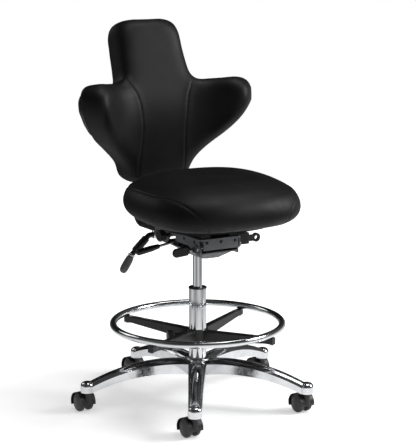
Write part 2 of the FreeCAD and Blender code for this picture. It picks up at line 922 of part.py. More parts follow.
def make_knob(body, screw_radius, screw_length, radius, length, lobes):
    """A lobed hand knob on a screw, built along Z with the screw's tip at the origin."""
    circle = add_sketch(body, "XY_Plane", "screw_circle", circles=[("0", "0", screw_radius)])
    extrude(body, "Pad", "screw", circle, f"{screw_length} + {length} / 2")
    rounding = f"({length} / 6)"
    profile = [
        ("0", screw_length),
        (f"{radius} * knob_root_share", screw_length),
        (radius, f"{screw_length} + {length} * knob_flare_share"),
        (radius, f"{screw_length} + {length} - {rounding}", rounding, 1),
        (f"{radius} - {rounding}", f"{screw_length} + {length}"),
        ("0", f"{screw_length} + {length}"),
    ]
    revolve(body, "Revolution", "knob", add_sketch(body, "XZ_Plane", "knob_profile", [profile]))
    flute = add_sketch(
        body, "XY_Plane", "flute_circle",
        circles=[(f"{radius} * flute_place_share", "0", f"{radius} * flute_radius_share")],
        offset=screw_length,
    )
    cut = extrude(body, "Pocket", "flute", flute, length, reverse=True)
    polar(body, "flutes", [cut], int(value(lobes)))
    return body


# Tilt mechanism
socket_radius = "(cylinder_radius + running_fit + socket_wall)"
flange_inner = "(pan_half + pan_lip)"
flange_outer = f"({flange_inner} + flange_wall)"
lever_z = f"({pin_top} + lever_rod + loose_fit)"


def drill_across(body, name, y, z, radius, length):
    """A hole through the body along X."""
    circle = add_sketch(body, "YZ_Plane", f"{name}_circle", circles=[(y, z, radius)])
    return extrude(body, "Pocket", name, circle, length, symmetric=True)


def make_pan():
    """The pressed steel pan that holds the gas lift, with ears for the tilt pin and lever cheeks."""
    body = new_body("mechanism_pan_body")

    def ring(name, inset, half, front, rear, offset):
        outline = rounded_rectangle(
            f"(-{half} + {inset})", f"({half} - {inset})", f"({front} + {inset})", f"({rear} - {inset})",
            f"(pan_corner - {inset})",
        )
        return add_sketch(body, "XY_Plane", name, [outline], offset=offset)

    floor = ("pan_floor_half", "pan_floor_front", "pan_floor_rear")
    rim = ("pan_half", "pan_front", "pan_rear")
    loft(body, "AdditiveLoft", "pan", [
        ring("pan_floor", "0", *floor, "pan_bottom"),
        ring("pan_mouth", "0", *rim, "pan_rim"),
    ])
    lip = ring("pan_lip_outline", "(loose_fit - pan_lip)", *rim, "pan_rim")
    extrude(body, "Pad", "pan_lip_pad", lip, "pan_wall", reverse=True)
    loft(body, "SubtractiveLoft", "pan_hollow", [
        ring("hollow_floor", "pan_wall", *floor, "pan_bottom + pan_wall"),
        ring("hollow_mouth", "pan_wall", *rim, "pan_rim"),
    ])
    socket_hole = add_sketch(
        body, "XY_Plane", "socket_hole_circle", circles=[("0", "0", f"{socket_radius} + running_fit")],
        offset="pan_bottom",
    )
    extrude(body, "Pocket", "socket_hole", socket_hole, "2 * pan_wall", reverse=True)
    ear_bottom = "(pan_rim - 3 * pan_wall)"
    for side_name, offset in (("right", "-pan_half"), ("left", "pan_half - ear_wall")):
        ear = add_sketch(body, "YZ_Plane", f"ear_{side_name}", [[
            ("tilt_y - ear_radius", ear_bottom),
            ("tilt_y + ear_radius", ear_bottom),
            ("tilt_y + ear_radius", "tilt_z", "ear_radius", 1),
            ("tilt_y", "tilt_z + ear_radius", "ear_radius", 1),
            ("tilt_y - ear_radius", "tilt_z"),
        ]], offset=offset)
        extrude(body, "Pad", f"ear_pad_{side_name}", ear, "ear_wall")
    drill_across(body, "tilt_hole", "tilt_y", "tilt_z", "tilt_pin_radius + running_fit", "4 * pan_half")
    for lever_name, y, z in (("height", "0", lever_z), ("tilt", "tilt_lever_y", "tilt_lever_z")):
        for side_name, near in (
            ("front", f"-({y}) + lever_rod + loose_fit"),
            ("rear", f"-({y}) - lever_rod - loose_fit - lever_cheek"),
        ):
            cheek = add_sketch(body, "XZ_Plane", f"{lever_name}_cheek_{side_name}", [[
                ("lever_pivot_x - lever_cheek_half", "pan_bottom + pan_wall / 2"),
                ("lever_pivot_x + lever_cheek_half", "pan_bottom + pan_wall / 2"),
                ("lever_pivot_x + lever_cheek_half", f"{z} + 2 * lever_pivot_pin"),
                ("lever_pivot_x - lever_cheek_half", f"{z} + 2 * lever_pivot_pin"),
            ]], offset=near)
            extrude(body, "Pad", f"{lever_name}_cheek_pad_{side_name}", cheek, "lever_cheek")
        hole = add_sketch(
            body, "XZ_Plane", f"{lever_name}_pivot_circle",
            circles=[("lever_pivot_x", z, "lever_pivot_pin + running_fit")], offset=f"-({y})",
        )
        extrude(body, "Pocket", f"{lever_name}_pivot_hole", hole, "6 * lever_rod", symmetric=True)
    return keep(body, "mechanism_pan")


def make_socket():
    top = "(cylinder_top - socket_drop)"
    taper_share = f"({top} - {taper_bottom}) / (cylinder_top - {taper_bottom})"
    socket = turned("taper_socket_body", [
        ("cylinder_radius + running_fit", taper_bottom),
        (socket_radius, taper_bottom),
        (socket_radius, top),
        (f"cylinder_radius - taper_drop * {taper_share} + running_fit", top),
    ])
    return keep(socket, "taper_socket")


def make_cross_pin(name, y, z, radius, half):
    """A headed pin along X."""
    head = f"({radius} + pin_head_flange)"
    body = turned(f"{name}_body", [
        ("0", f"-{half} - pin_head_thickness"),
        (head, f"-{half} - pin_head_thickness"),
        (head, f"-{half}"),
        (radius, f"-{half}"),
        (radius, half),
        (head, half),
        (head, f"{half} + pin_head_thickness"),
        ("0", f"{half} + pin_head_thickness"),
    ])
    return keep(place(body, "0", y, z, "90", ALONG), name)


def make_tilt_spring():
    """The torsion coil round the tilt pin."""
    radius = value("tilt_pin_radius + loose_fit + coil_wire")
    length = value("2 * coil_half")
    wire_radius = value("coil_wire")
    helix = Part.makeHelix(length / value("coil_turns"), length, radius)
    section = Part.Wire(Part.makeCircle(wire_radius, Vector(radius, 0, 0), ALONG))
    coil = Part.Wire(helix).makePipeShell([section], True, True)
    spring = doc.addObject("Part::Feature", "tilt_spring_coil")
    spring.Shape = coil
    middle = Vector(-length / 2, value("tilt_y"), value("tilt_z"))
    spring.Placement = Placement(middle, Rotation(ALONG, 90))
    return keep(spring, "tilt_spring")


# Seat frame, depth slide and seat
plate_top = "(plate_bottom + plate_wall)"
rail_top = f"({plate_top} + rail_height)"
board_bottom = f"({rail_top} + loose_fit + runner_height)"
cushion_bottom = f"({board_bottom} + board_thickness)"
seat_bolt_x = "(rail_x + rail_half + (runner_wing - rail_half) / 2)"
SEAT_BOLTS = [(f"{side}{seat_bolt_x}", f"{end}seat_bolt_y") for side in ("-", "") for end in ("-", "")]


def make_seat_frame():
    """The tilting top plate with folded side flanges that carry both cross pins."""
    body = new_body("seat_frame_body")
    top = rounded_rectangle(f"-{flange_outer}", flange_outer, "plate_front", "plate_rear", "plate_corner")
    sketch = add_sketch(body, "XY_Plane", "top_outline", [top], offset="plate_bottom")
    extrude(body, "Pad", "top_plate", sketch, "plate_wall")
    deep = "(plate_bottom - flange_deep)"
    shallow = "(plate_bottom - flange_shallow)"
    flange = [
        ("tilt_y + ear_radius", "tilt_z"),
        ("flange_notch_front", "tilt_z"),
        ("flange_notch_front", shallow),
        ("flange_deep_front", shallow),
        ("flange_deep_front + flange_deep - flange_shallow", deep),
        ("recline_y + ear_radius", deep),
        ("recline_y + ear_radius", "plate_bottom + plate_wall / 2"),
        ("tilt_y - ear_radius", "plate_bottom + plate_wall / 2"),
        ("tilt_y - ear_radius", "tilt_z", "ear_radius", 1),
        ("tilt_y", "tilt_z - ear_radius", "ear_radius", 1),
    ]
    for side_name, offset in (("right", f"-{flange_outer}"), ("left", flange_inner)):
        sketch = add_sketch(body, "YZ_Plane", f"flange_{side_name}", [flange], offset=offset)
        extrude(body, "Pad", f"flange_pad_{side_name}", sketch, "flange_wall")
    half = f"({flange_outer} - plate_corner)"
    apron_top = "plate_bottom + plate_wall / 2"
    apron = rounded_rectangle(f"-{half}", half, "apron_bottom", apron_top, "flange_wall / 2")
    sketch = add_sketch(body, "XZ_Plane", "apron", [apron], offset="-(plate_front + flange_wall)")
    extrude(body, "Pad", "apron_pad", sketch, "flange_wall")
    for name, y in (("tilt_hole", "tilt_y"), ("recline_hole", "recline_y")):
        drill_across(body, name, y, "tilt_z", "tilt_pin_radius + running_fit", "4 * pan_half")
    screw = add_sketch(
        body, "YZ_Plane", "tension_circle",
        circles=[("tension_y", "tension_z", "tension_screw + running_fit")],
    )
    extrude(body, "Pocket", "tension_hole", screw, "2 * pan_half")
    return keep(body, "seat_frame")


def make_rails():
    """Two channel rails on the seat frame, and the runners that slide in them."""
    half, wall = "rail_half", "rail_wall"
    lip = f"({half} - 3 * {wall})"
    rails = new_body("slider_rails_body")
    rails.AllowCompound = True
    runners = new_body("seat_runners_body")
    runners.AllowCompound = True
    length = "rail_rear - rail_front"
    fit = "loose_fit"
    for side_name, x in (("right", "-rail_x"), ("left", "rail_x")):
        channel = [
            (f"{x} - {half}", plate_top),
            (f"{x} + {half}", plate_top),
            (f"{x} + {half}", rail_top),
            (f"{x} + {lip}", rail_top),
            (f"{x} + {lip}", f"{rail_top} - {wall}"),
            (f"{x} + {half} - {wall}", f"{rail_top} - {wall}"),
            (f"{x} + {half} - {wall}", f"{plate_top} + {wall}"),
            (f"{x} - {half} + {wall}", f"{plate_top} + {wall}"),
            (f"{x} - {half} + {wall}", f"{rail_top} - {wall}"),
            (f"{x} - {lip}", f"{rail_top} - {wall}"),
            (f"{x} - {lip}", rail_top),
            (f"{x} - {half}", rail_top),
        ]
        sketch = add_sketch(rails, "XZ_Plane", f"rail_{side_name}", [channel], offset="-rail_rear")
        extrude(rails, "Pad", f"rail_pad_{side_name}", sketch, length)
        foot = f"({half} - {wall} - {fit})"
        neck = f"({lip} - {fit})"
        runner = [
            (f"{x} - {foot}", f"{plate_top} + {wall} + {fit}"),
            (f"{x} + {foot}", f"{plate_top} + {wall} + {fit}"),
            (f"{x} + {foot}", f"{rail_top} - {wall} - {fit}"),
            (f"{x} + {neck}", f"{rail_top} - {wall} - {fit}"),
            (f"{x} + {neck}", f"{rail_top} + {fit}"),
            (f"{x} + runner_wing", f"{rail_top} + {fit}"),
            (f"{x} + runner_wing", board_bottom),
            (f"{x} - runner_wing", board_bottom),
            (f"{x} - runner_wing", f"{rail_top} + {fit}"),
            (f"{x} - {neck}", f"{rail_top} + {fit}"),
            (f"{x} - {neck}", f"{rail_top} - {wall} - {fit}"),
            (f"{x} - {foot}", f"{rail_top} - {wall} - {fit}"),
        ]
        sketch = add_sketch(runners, "XZ_Plane", f"runner_{side_name}", [runner], offset="-rail_rear")
        extrude(runners, "Pad", f"runner_pad_{side_name}", sketch, length)
    holes = add_sketch(
        runners, "XY_Plane", "bolt_circles",
        circles=[(x, y, "seat_bolt_radius + running_fit") for x, y in SEAT_BOLTS], offset=board_bottom,
    )
    extrude(runners, "Pocket", "bolt_holes", holes, "2 * runner_height")
    keep(rails, "slider_rails")
    keep(runners, "seat_runners")


def bolt_group(name, spots, radius, head, length, turn):
    """Identical cap screws from their heads' seats, pointing up or turned about X."""
    bolts = []
    for number, spot in enumerate(spots):
        bolt = turned(f"{name}_{number}", [
            ("0", f"-{head} * bolt_head_share"),
            (head, f"-{head} * bolt_head_share"),
            (head, "0"),
            (radius, "0"),
            (radius, length),
            ("0", length),
        ])
        bolts.append(place(bolt, *spot, turn, ACROSS))
    group = doc.addObject("Part::Compound", f"{name}_group")
    group.Links = bolts
    return keep(group, name)


def seat_outline(inset):
    """The seat's plan round its own centre: four bowed sides that meet at corners."""
    half, deep = f"(seat_width / 2 - {inset})", f"(seat_length / 2 - {inset})"
    x, y = f"({half} - seat_bow)", f"({deep} - seat_bow)"
    side_radius = f"(({y}^2 + seat_bow^2) / (2 * seat_bow))"
    front_radius = f"(({x}^2 + seat_bow^2) / (2 * seat_bow))"
    return [
        (f"-{x}", f"-{y}", front_radius, 1),
        (x, f"-{y}", side_radius, 1),
        (x, y, front_radius, 1),
        (f"-{x}", y, side_radius, 1),
    ]


def upright(edge):
    box = edge.BoundBox
    return box.ZLength > 1 and box.XLength < 1e-3 and box.YLength < 1e-3


# Sections of the cushion: share of the height, share of the edge width drawn in, and whether it slopes
SEAT_STATIONS = (
    (0, 0.5, False),
    (0.1, 0.21, True),
    (0.2, 0.07, True),
    (0.36, 0, True),
    (0.53, 0.015, True),
    (0.69, 0.09, True),
    (0.83, 0.25, True),
    (0.94, 0.55, True),
    (1, 1, True),
)


# Spots on each curve round the seat
SEAT_SPOTS = 48


def seat_section(rise, drawn_in, sloped):
    """One closed curve round the cushion, between an ellipse and a rectangle in plan."""
    inset = value("seat_edge") * drawn_in
    half, deep = value("seat_width / 2") - inset, value("seat_length / 2") - inset
    height = value(cushion_bottom) + rise * value(f"seat_crown_z - {cushion_bottom}")
    slope = math.radians(value("seat_slope")) if sloped else 0
    power = 2 / value("seat_roundness")
    spots = []
    for number in range(SEAT_SPOTS):
        angle = 2 * math.pi * number / SEAT_SPOTS
        x = half * math.copysign(abs(math.cos(angle)) ** power, math.cos(angle))
        y = deep * math.copysign(abs(math.sin(angle)) ** power, math.sin(angle))
        spots.append(Vector(x, y * math.cos(slope), height + y * math.sin(slope)))
    curve = Part.BSplineCurve()
    curve.interpolate(spots, PeriodicFlag=True)
    return Part.Wire(curve.toShape())


def make_seat():
    board = new_body("seat_board_body")
    outline = seat_outline("board_inset")
    sketch = add_sketch(board, "XY_Plane", "board_outline", [outline], offset=board_bottom)
    pad = extrude(board, "Pad", "board", sketch, "board_thickness")
    fillet(board, "board_corners", pad, upright, "seat_corner - board_inset")
    keep(place(board, y="seat_centre_y"), "seat_board")

    sections = [seat_section(*station) for station in SEAT_STATIONS]
    cushion = doc.addObject("Part::Feature", "seat_cushion_pillow")
    cushion.Shape = Part.makeLoft(sections, True, False)
    keep(place(cushion, y="seat_centre_y"), "seat_cushion")

    spots = [(x, y, f"{rail_top} + loose_fit") for x, y in SEAT_BOLTS]
    bolt_group("seat_bolts", spots, "seat_bolt_radius", "seat_bolt_head", "runner_height", "0")


# Back bar and backrest
lean_cos = "cos(back_lean * 1 deg)"
lean_sin = "sin(back_lean * 1 deg)"
shell_front = "(back_depth + loose_fit)"
mount_depth = f"({shell_front} + shell_depth + running_fit)"
bar_low = "(bar_z - bar_thickness / 2)"
bar_high = "(bar_z + bar_thickness / 2)"
bar_front = "(bar_offset - bar_thickness / 2)"
bar_rear = "(bar_offset + bar_thickness / 2)"
back_bolt_x = "(sleeve_half + sleeve_wing / 2)"
BACK_BOLTS = [
    (f"{side}{back_bolt_x}", z)
    for side in ("-", "")
    for z in ("(sleeve_bottom + back_bolt_inset)", "(sleeve_bottom + sleeve_height - back_bolt_inset)")
]


def behind_back(rear, up):
    """World y and z of a spot behind the leaning rear face of the backrest's lower half."""
    out = f"({mount_depth} + {rear})"
    y = f"(back_foot_y + {out} * {lean_cos} - {up} * {lean_sin})"
    z = f"(back_bottom + {out} * {lean_sin} + {up} * {lean_cos})"
    return y, z


def lean_with_back(body):
    """Sets a body that was built upright against the backrest's rear face."""
    y, z = behind_back("0", "0")
    return place(body, "0", y, z, "back_lean", ACROSS)


def make_back_bar():
    """The bent flat bar, with the tube that turns on the recline pin."""
    body = new_body("back_bar_body")
    inner = "(bar_bend - bar_thickness / 2)"
    outer = "(bar_bend + bar_thickness / 2)"
    line_y, line_z = behind_back("bar_offset", "0")
    centre_z = "(bar_z + bar_bend)"
    centre_y = f"({line_y} - (bar_bend + ({centre_z} - {line_z}) * {lean_sin}) / {lean_cos})"
    side = [
        ("recline_y", bar_low),
        (centre_y, bar_low, outer, 1),
        (f"{centre_y} + {outer} * {lean_cos}", f"{centre_z} + {outer} * {lean_sin}"),
        behind_back(bar_rear, "bar_top"),
        behind_back(bar_front, "bar_top"),
        (f"{centre_y} + {inner} * {lean_cos}", f"{centre_z} + {inner} * {lean_sin}", inner, -1),
        (centre_y, bar_high),
        ("recline_y", bar_high),
    ]
    extrude(body, "Pad", "bar", add_sketch(body, "YZ_Plane", "bar_side", [side]), "bar_width", symmetric=True)
    tube = add_sketch(
        body, "YZ_Plane", "tube_circle", circles=[("recline_y", "tilt_z", "pivot_tube_radius")]
    )
    extrude(body, "Pad", "pivot_tube", tube, f"2 * ({flange_inner} - loose_fit)", symmetric=True)
    drill_across(body, "pivot_hole", "recline_y", "tilt_z", "tilt_pin_radius + running_fit", "4 * pan_half")
    keep(body, "back_bar")

    cap = new_body("bar_cap_body")
    outline = rounded_rectangle("-bar_width / 2", "bar_width / 2", bar_front, bar_rear, "bar_thickness / 4")
    sketch = add_sketch(cap, "XY_Plane", "cap_outline", [outline], offset="bar_top")
    extrude(cap, "Pad", "cap", sketch, "bar_cap")
    keep(lean_with_back(cap), "bar_cap")


def make_back_sleeve():
    """The moulded sleeve that slides on the bar and carries the backrest."""
    body = new_body("back_sleeve_body")
    outline = rounded_rectangle("-sleeve_half", "sleeve_half", "0", "sleeve_depth", "sleeve_corner")
    plate = rounded_rectangle(
        "(-sleeve_half - sleeve_wing)", "(sleeve_half + sleeve_wing)", "0",
        "sleeve_wing_depth", "(sleeve_wing_depth / 3)",
    )
    slot = [
        ("-bar_width / 2 - loose_fit", f"{bar_front} - loose_fit"),
        ("bar_width / 2 + loose_fit", f"{bar_front} - loose_fit"),
        ("bar_width / 2 + loose_fit", f"{bar_rear} + loose_fit"),
        ("-bar_width / 2 - loose_fit", f"{bar_rear} + loose_fit"),
    ]
    steps = (("Pad", "sleeve", outline), ("Pad", "mounting_plate", plate), ("Pocket", "bar_slot", slot))
    for kind, name, loop in steps:
        sketch = add_sketch(body, "XY_Plane", f"{name}_outline", [loop], offset="sleeve_bottom")
        extrude(body, kind, name, sketch, "sleeve_height", reverse=kind == "Pocket")
    holes = add_sketch(
        body, "XZ_Plane", "bolt_circles",
        circles=[(x, z, "back_bolt_radius + running_fit") for x, z in BACK_BOLTS],
    )
    extrude(body, "Pocket", "bolt_holes", holes, "4 * sleeve_wing_depth", symmetric=True)
    keep(lean_with_back(body), "back_sleeve")
    spots = [(x, *behind_back("sleeve_wing_depth", z)) for x, z in BACK_BOLTS]
    bolt_group(
        "back_bolts", spots, "back_bolt_radius", "back_bolt_head",
        "(sleeve_wing_depth + back_bolt_grip)", "90 + back_lean",
    )


def wing_plan(along):
    """How far out and how far forward the front face lies, at a distance along its plan curve."""
    flat, bend = value("back_flat_half"), value("wing_bend")
    angle = math.radians(value("wing_angle"))
    turn = min(max(along - flat, 0) / bend, angle)
    rest = max(along - flat - bend * angle, 0)
    out = min(along, flat) + bend * math.sin(turn) + rest * math.cos(angle)
    forward = bend * (1 - math.cos(turn)) + rest * math.sin(angle)
    return out, forward


def side_profile(up):
    """Y, height and slope of the front face's centre line, at a distance up that line."""
    angles = ("-back_lean", "recline_angle", "head_angle")
    lean, recline, head = (math.radians(value(angle)) for angle in angles)
    head_start, head_end = value("head_arc_start"), value("head_arc_start + head_arc")
    runs = [
        (0, value("back_straight"), lean, lean),
        (value("back_straight"), value("back_straight + recline_arc"), lean, recline),
        (value("back_straight + recline_arc"), head_start, recline, recline),
        (head_start, head_end, recline, head),
        (head_end, 2 * head_end, head, head),
    ]
    y, z, slope = min(up, 0) * math.sin(lean), min(up, 0) * math.cos(lean), lean
    for start, end, first, last in runs:
        length = min(up, end) - start
        if length <= 0:
            break
        turn = (last - first) * length / (end - start)
        middle, half = first + turn / 2, turn / 2
        chord = length * (math.sin(half) / half if half else 1)
        y += chord * math.sin(middle)
        z += chord * math.cos(middle)
        slope = first + turn
    return y, z, slope


# Rows of spots across and up the spline face of the back
BACK_GRID = (31, 23)


def back_surface():
    """The front face as one spline surface, larger than the backrest all round."""
    spare = value("wing_corner")
    across, up = BACK_GRID
    reach = value("wing_half + wing_half / 3")
    low, high = -spare, value("back_top") + 2 * spare
    profile = [side_profile(low + (high - low) * row / (up - 1)) for row in range(up)]
    grid = []
    for column in range(across):
        distance = reach * (2 * column / (across - 1) - 1)
        out, forward = wing_plan(abs(distance))
        grid.append([
            Vector(math.copysign(out, distance), y - forward * math.cos(slope), z + forward * math.sin(slope))
            for y, z, slope in profile
        ])
    surface = Part.BSplineSurface()
    surface.interpolate(grid)
    return surface.toShape()


def back_outline(inset):
    """A prism through the backrest with its front-view outline, rounded at the corners."""
    corners = [
        (value(half) - inset, value(height) + drop * inset, value(size))
        for half, height, drop, size in (
            ("head_half", "back_top", -1, "head_corner"),
            ("neck_half", "neck_height", -1, "neck_corner"),
            ("wing_half", "wing_top", -1, "wing_corner"),
            ("wing_half", "wing_low", 0, "wing_corner"),
            ("wing_under_half", "wing_under", 0, "wing_under_corner"),
            ("waist_half", "waist_height", 0, "waist_corner"),
            ("back_foot_half", "0", 1, "back_foot_corner"),
        )
    ]
    loop = corners + [(-x, z, size) for x, z, size in reversed(corners)]
    depth = value("back_top")
    spots = [Vector(x, -depth, z) for x, z, size in loop]
    prism = Part.Face(Part.makePolygon(spots + spots[:1])).extrude(Vector(0, 2 * depth, 0))
    for x, z, size in loop:
        edge = next(
            edge for edge in prism.Edges
            if edge.BoundBox.YLength > depth
            and math.hypot(edge.CenterOfMass.x - x, edge.CenterOfMass.z - z) < 1e-3
        )
        prism = prism.makeFillet(size, [edge])
    return prism


def rim(solid, rear):
    """The edges round the larger front face, or round the rear one."""
    faces = sorted(solid.Faces, key=lambda face: -face.Area)[:2]
    faces.sort(key=lambda face: face.CenterOfMass.y)
    return faces[1 if rear else 0].Edges


def make_backrest():
    """A thick padded layer and a thin shell, each grown backwards from the trimmed front face."""
    front = back_surface()
    depth = value("back_depth")
    face = front.common(back_outline(0)).Faces[0]
    cushion = face.makeOffsetShape(-depth, 1e-3, fill=True).Solids[0]
    cushion = cushion.makeFillet(value("back_front_rounding"), rim(cushion, rear=False))
    cushion = cushion.makeFillet(value("back_rear_rounding"), rim(cushion, rear=True))

    inner = front.common(back_outline(value("shell_inset"))).Faces[0]
    face = inner.makeOffsetShape(-value(shell_front), 1e-3, fill=False).Faces[0]
    shell = face.makeOffsetShape(-value("shell_depth"), 1e-3, fill=True).Solids[0]
    shell = shell.makeFillet(value("shell_rounding"), rim(shell, rear=True))
    lean = math.radians(value("back_lean"))
    rearward, upward = Vector(0, math.cos(lean), math.sin(lean)), Vector(0, -math.sin(lean), math.cos(lean))
    hole_depth = value("back_bolt_grip + loose_fit")
    for x, up in BACK_BOLTS:
        end = Vector(value(x), 0, 0) + rearward * (value(mount_depth) - hole_depth) + upward * value(up)
        radius = value("back_bolt_radius + running_fit")
        shell = shell.cut(Part.makeCylinder(radius, 2 * hole_depth, end, rearward)).Solids[0]

    for name, solid in (("back_cushion", cushion), ("back_shell", shell)):
        layer = doc.addObject("Part::Feature", f"{name}_layer")
        layer.Shape = solid
        keep(place(layer, "0", "back_foot_y", "back_bottom"), name)


# Levers and knobs
def bent_rod(spots, bend, radius):
    """A round rod along straight runs that tangent arcs join."""
    edges = []
    start = spots[0]
    for before, corner, after in zip(spots, spots[1:], spots[2:]):
        back = (before - corner).normalize()
        ahead = (after - corner).normalize()
        half_turn = (math.pi - back.getAngle(ahead)) / 2
        reach = bend * math.tan(half_turn)
        first, last = corner + back * reach, corner + ahead * reach
        inward = (back + ahead).normalize()
        middle = corner + inward * (bend / math.cos(half_turn) - bend)
        edges.append(Part.LineSegment(start, first).toShape())
        edges.append(Part.Arc(first, middle, last).toShape())
        start = last
    edges.append(Part.LineSegment(start, spots[-1]).toShape())
    section = Part.Wire(Part.makeCircle(radius, spots[0], spots[1] - spots[0]))
    return Part.Wire(edges).makePipeShell([section], True, False)


def along(thing, spot, direction):
    """Stands a piece that was built along Z at a spot, pointing in a direction."""
    thing.Placement = Placement(spot, Rotation(UP, direction))
    return thing


def make_tilt_lever():
    body = new_body("tilt_lever_body")
    grip_start = "(tilt_lever_reach - tilt_grip_length)"
    bore_end = f"({grip_start} + tilt_grip_length / 3)"
    heel = "(3 * lever_rod)"
    rod = add_sketch(body, "XY_Plane", "rod_circle", circles=[("0", "0", "lever_rod")], offset=f"(-{heel})")
    extrude(body, "Pad", "rod", rod, f"{heel} + {bore_end} - loose_fit")
    pin = add_sketch(body, "XZ_Plane", "pivot_circle", circles=[("0", "0", "lever_pivot_pin")])
    extrude(body, "Pad", "pivot", pin, "2 * (lever_rod + loose_fit + lever_cheek)", symmetric=True)
    spot = ("lever_pivot_x", "tilt_lever_y", "tilt_lever_z")
    keep(place(body, *spot, "-90 - tilt_lever_drop", ALONG), "tilt_lever")
    grip = turned("tilt_grip_body", [
        ("lever_rod + running_fit", grip_start),
        ("tilt_grip_radius * tilt_grip_root_share", grip_start),
        ("tilt_grip_radius", f"{grip_start} + tilt_grip_length * tilt_grip_flare_share"),
        ("tilt_grip_radius", "tilt_lever_reach - tilt_grip_radius", "tilt_grip_radius", 1),
        ("0", "tilt_lever_reach"),
        ("0", bore_end),
        ("lever_rod + running_fit", bore_end),
    ])
    keep(place(grip, *spot, "-90 - tilt_lever_drop", ALONG), "tilt_lever_grip")


def make_height_lever():
    """A cranked rod that rests on the gas lift's release pin, with a flat paddle."""
    height = value(lever_z)
    radius = value("lever_rod")
    pivot = value("lever_pivot_x")
    end = Vector(value("height_lever_x"), value("height_lever_y"), height - value("height_lever_drop"))
    knee = Vector(pivot - value("height_lever_knee"), 0, height)
    shoulder = end + Vector(value("height_lever_shoulder"), 0, radius / 2)
    rod = bent_rod([Vector(2 * radius, 0, height), knee, shoulder, end], 2 * radius, radius)
    half = value("lever_rod + loose_fit + lever_cheek")
    pin = Part.makeCylinder(value("lever_pivot_pin"), 2 * half, Vector(pivot, -half, height), ALONG)
    lever = doc.addObject("Part::Feature", "height_lever_rod")
    lever.Shape = rod.fuse(pin).removeSplitter()
    keep(lever, "height_lever")

    paddle = new_body("height_paddle_body")
    half = "paddle_half"
    outline = [
        (f"-{half}", "0"),
        (f"-{half} * paddle_neck_share", f"-{half} * paddle_heel_share"),
        (f"{half} * paddle_neck_share", f"-{half} * paddle_heel_share"),
        (half, "0"),
        (half, f"paddle_length - {half}", half, 1),
        ("0", "paddle_length", half, 1),
        (f"-{half}", f"paddle_length - {half}"),
    ]
    sketch = add_sketch(paddle, "XZ_Plane", "paddle_outline", [outline])
    pad = extrude(paddle, "Pad", "paddle", sketch, "paddle_thickness", symmetric=True)
    fillet(paddle, "paddle_edge", pad, lambda edge: edge.BoundBox.YLength < 1e-3, "paddle_thickness / 3")
    bore = add_sketch(
        paddle, "XY_Plane", "rod_circle", circles=[("0", "0", "lever_rod + running_fit")], offset=f"-{half}"
    )
    extrude(paddle, "Pocket", "rod_hole", bore, f"{half} + loose_fit", reverse=True)
    last_run = (end - shoulder).normalize()
    keep(along(paddle, end, last_run), "height_lever_paddle")


def make_back_lever():
    """The clamp lever on the end of the recline pin: collar, cranked arm and grip."""
    near = -value(f"{flange_outer} + running_fit + pin_head_thickness + loose_fit")
    axis_spot = Vector(near, value("recline_y"), value("tilt_z"))
    collar = turned("back_lever_collar_body", [
        ("0", "0"),
        ("back_lever_collar", "0"),
        ("back_lever_collar", "back_lever_collar_length - back_lever_chamfer"),
        ("back_lever_collar - back_lever_chamfer", "back_lever_collar_length"),
        ("0", "back_lever_collar_length"),
    ])
    keep(along(collar, axis_spot, Vector(-1, 0, 0)), "back_lever_collar")
    radius = value("back_lever_rod")
    start = axis_spot + Vector(-value("back_lever_collar_length"), 0, 0)
    knee = start + Vector(-value("back_lever_knee"), 0, 0)
    elbow = knee + Vector(-value("back_lever_out"), 0, -value("back_lever_down"))
    run = Vector(-value("back_tip_out"), 0, -value("back_tip_down")).normalize()
    end = elbow + run * radius
    arm = doc.addObject("Part::Feature", "back_lever_arm_rod")
    arm.Shape = bent_rod([start, knee, elbow, end], value("back_lever_bend"), radius)
    keep(arm, "back_lever_arm")
    grip = turned("back_lever_grip_body", [
        ("0", "0"),
        ("back_lever_rod + back_lever_chamfer / 2", "0"),
        ("back_tip_radius", "back_tip_length * back_tip_flare_share"),
        ("back_tip_radius", "back_tip_length - back_tip_radius", "back_tip_radius", 1),
        ("0", "back_tip_length"),
    ])
    keep(along(grip, end, run), "back_lever_grip")


def make_tension_knob():
    knob = new_body("tension_knob_body")
    make_knob(knob, "tension_screw", "flange_wall * 3 + tension_gap", "tension_radius", "tension_length",
              "tension_lobes")
    start = f"-({flange_inner} - flange_wall)"
    keep(place(knob, start, "tension_y", "tension_z", "-90", ALONG), "tension_knob")


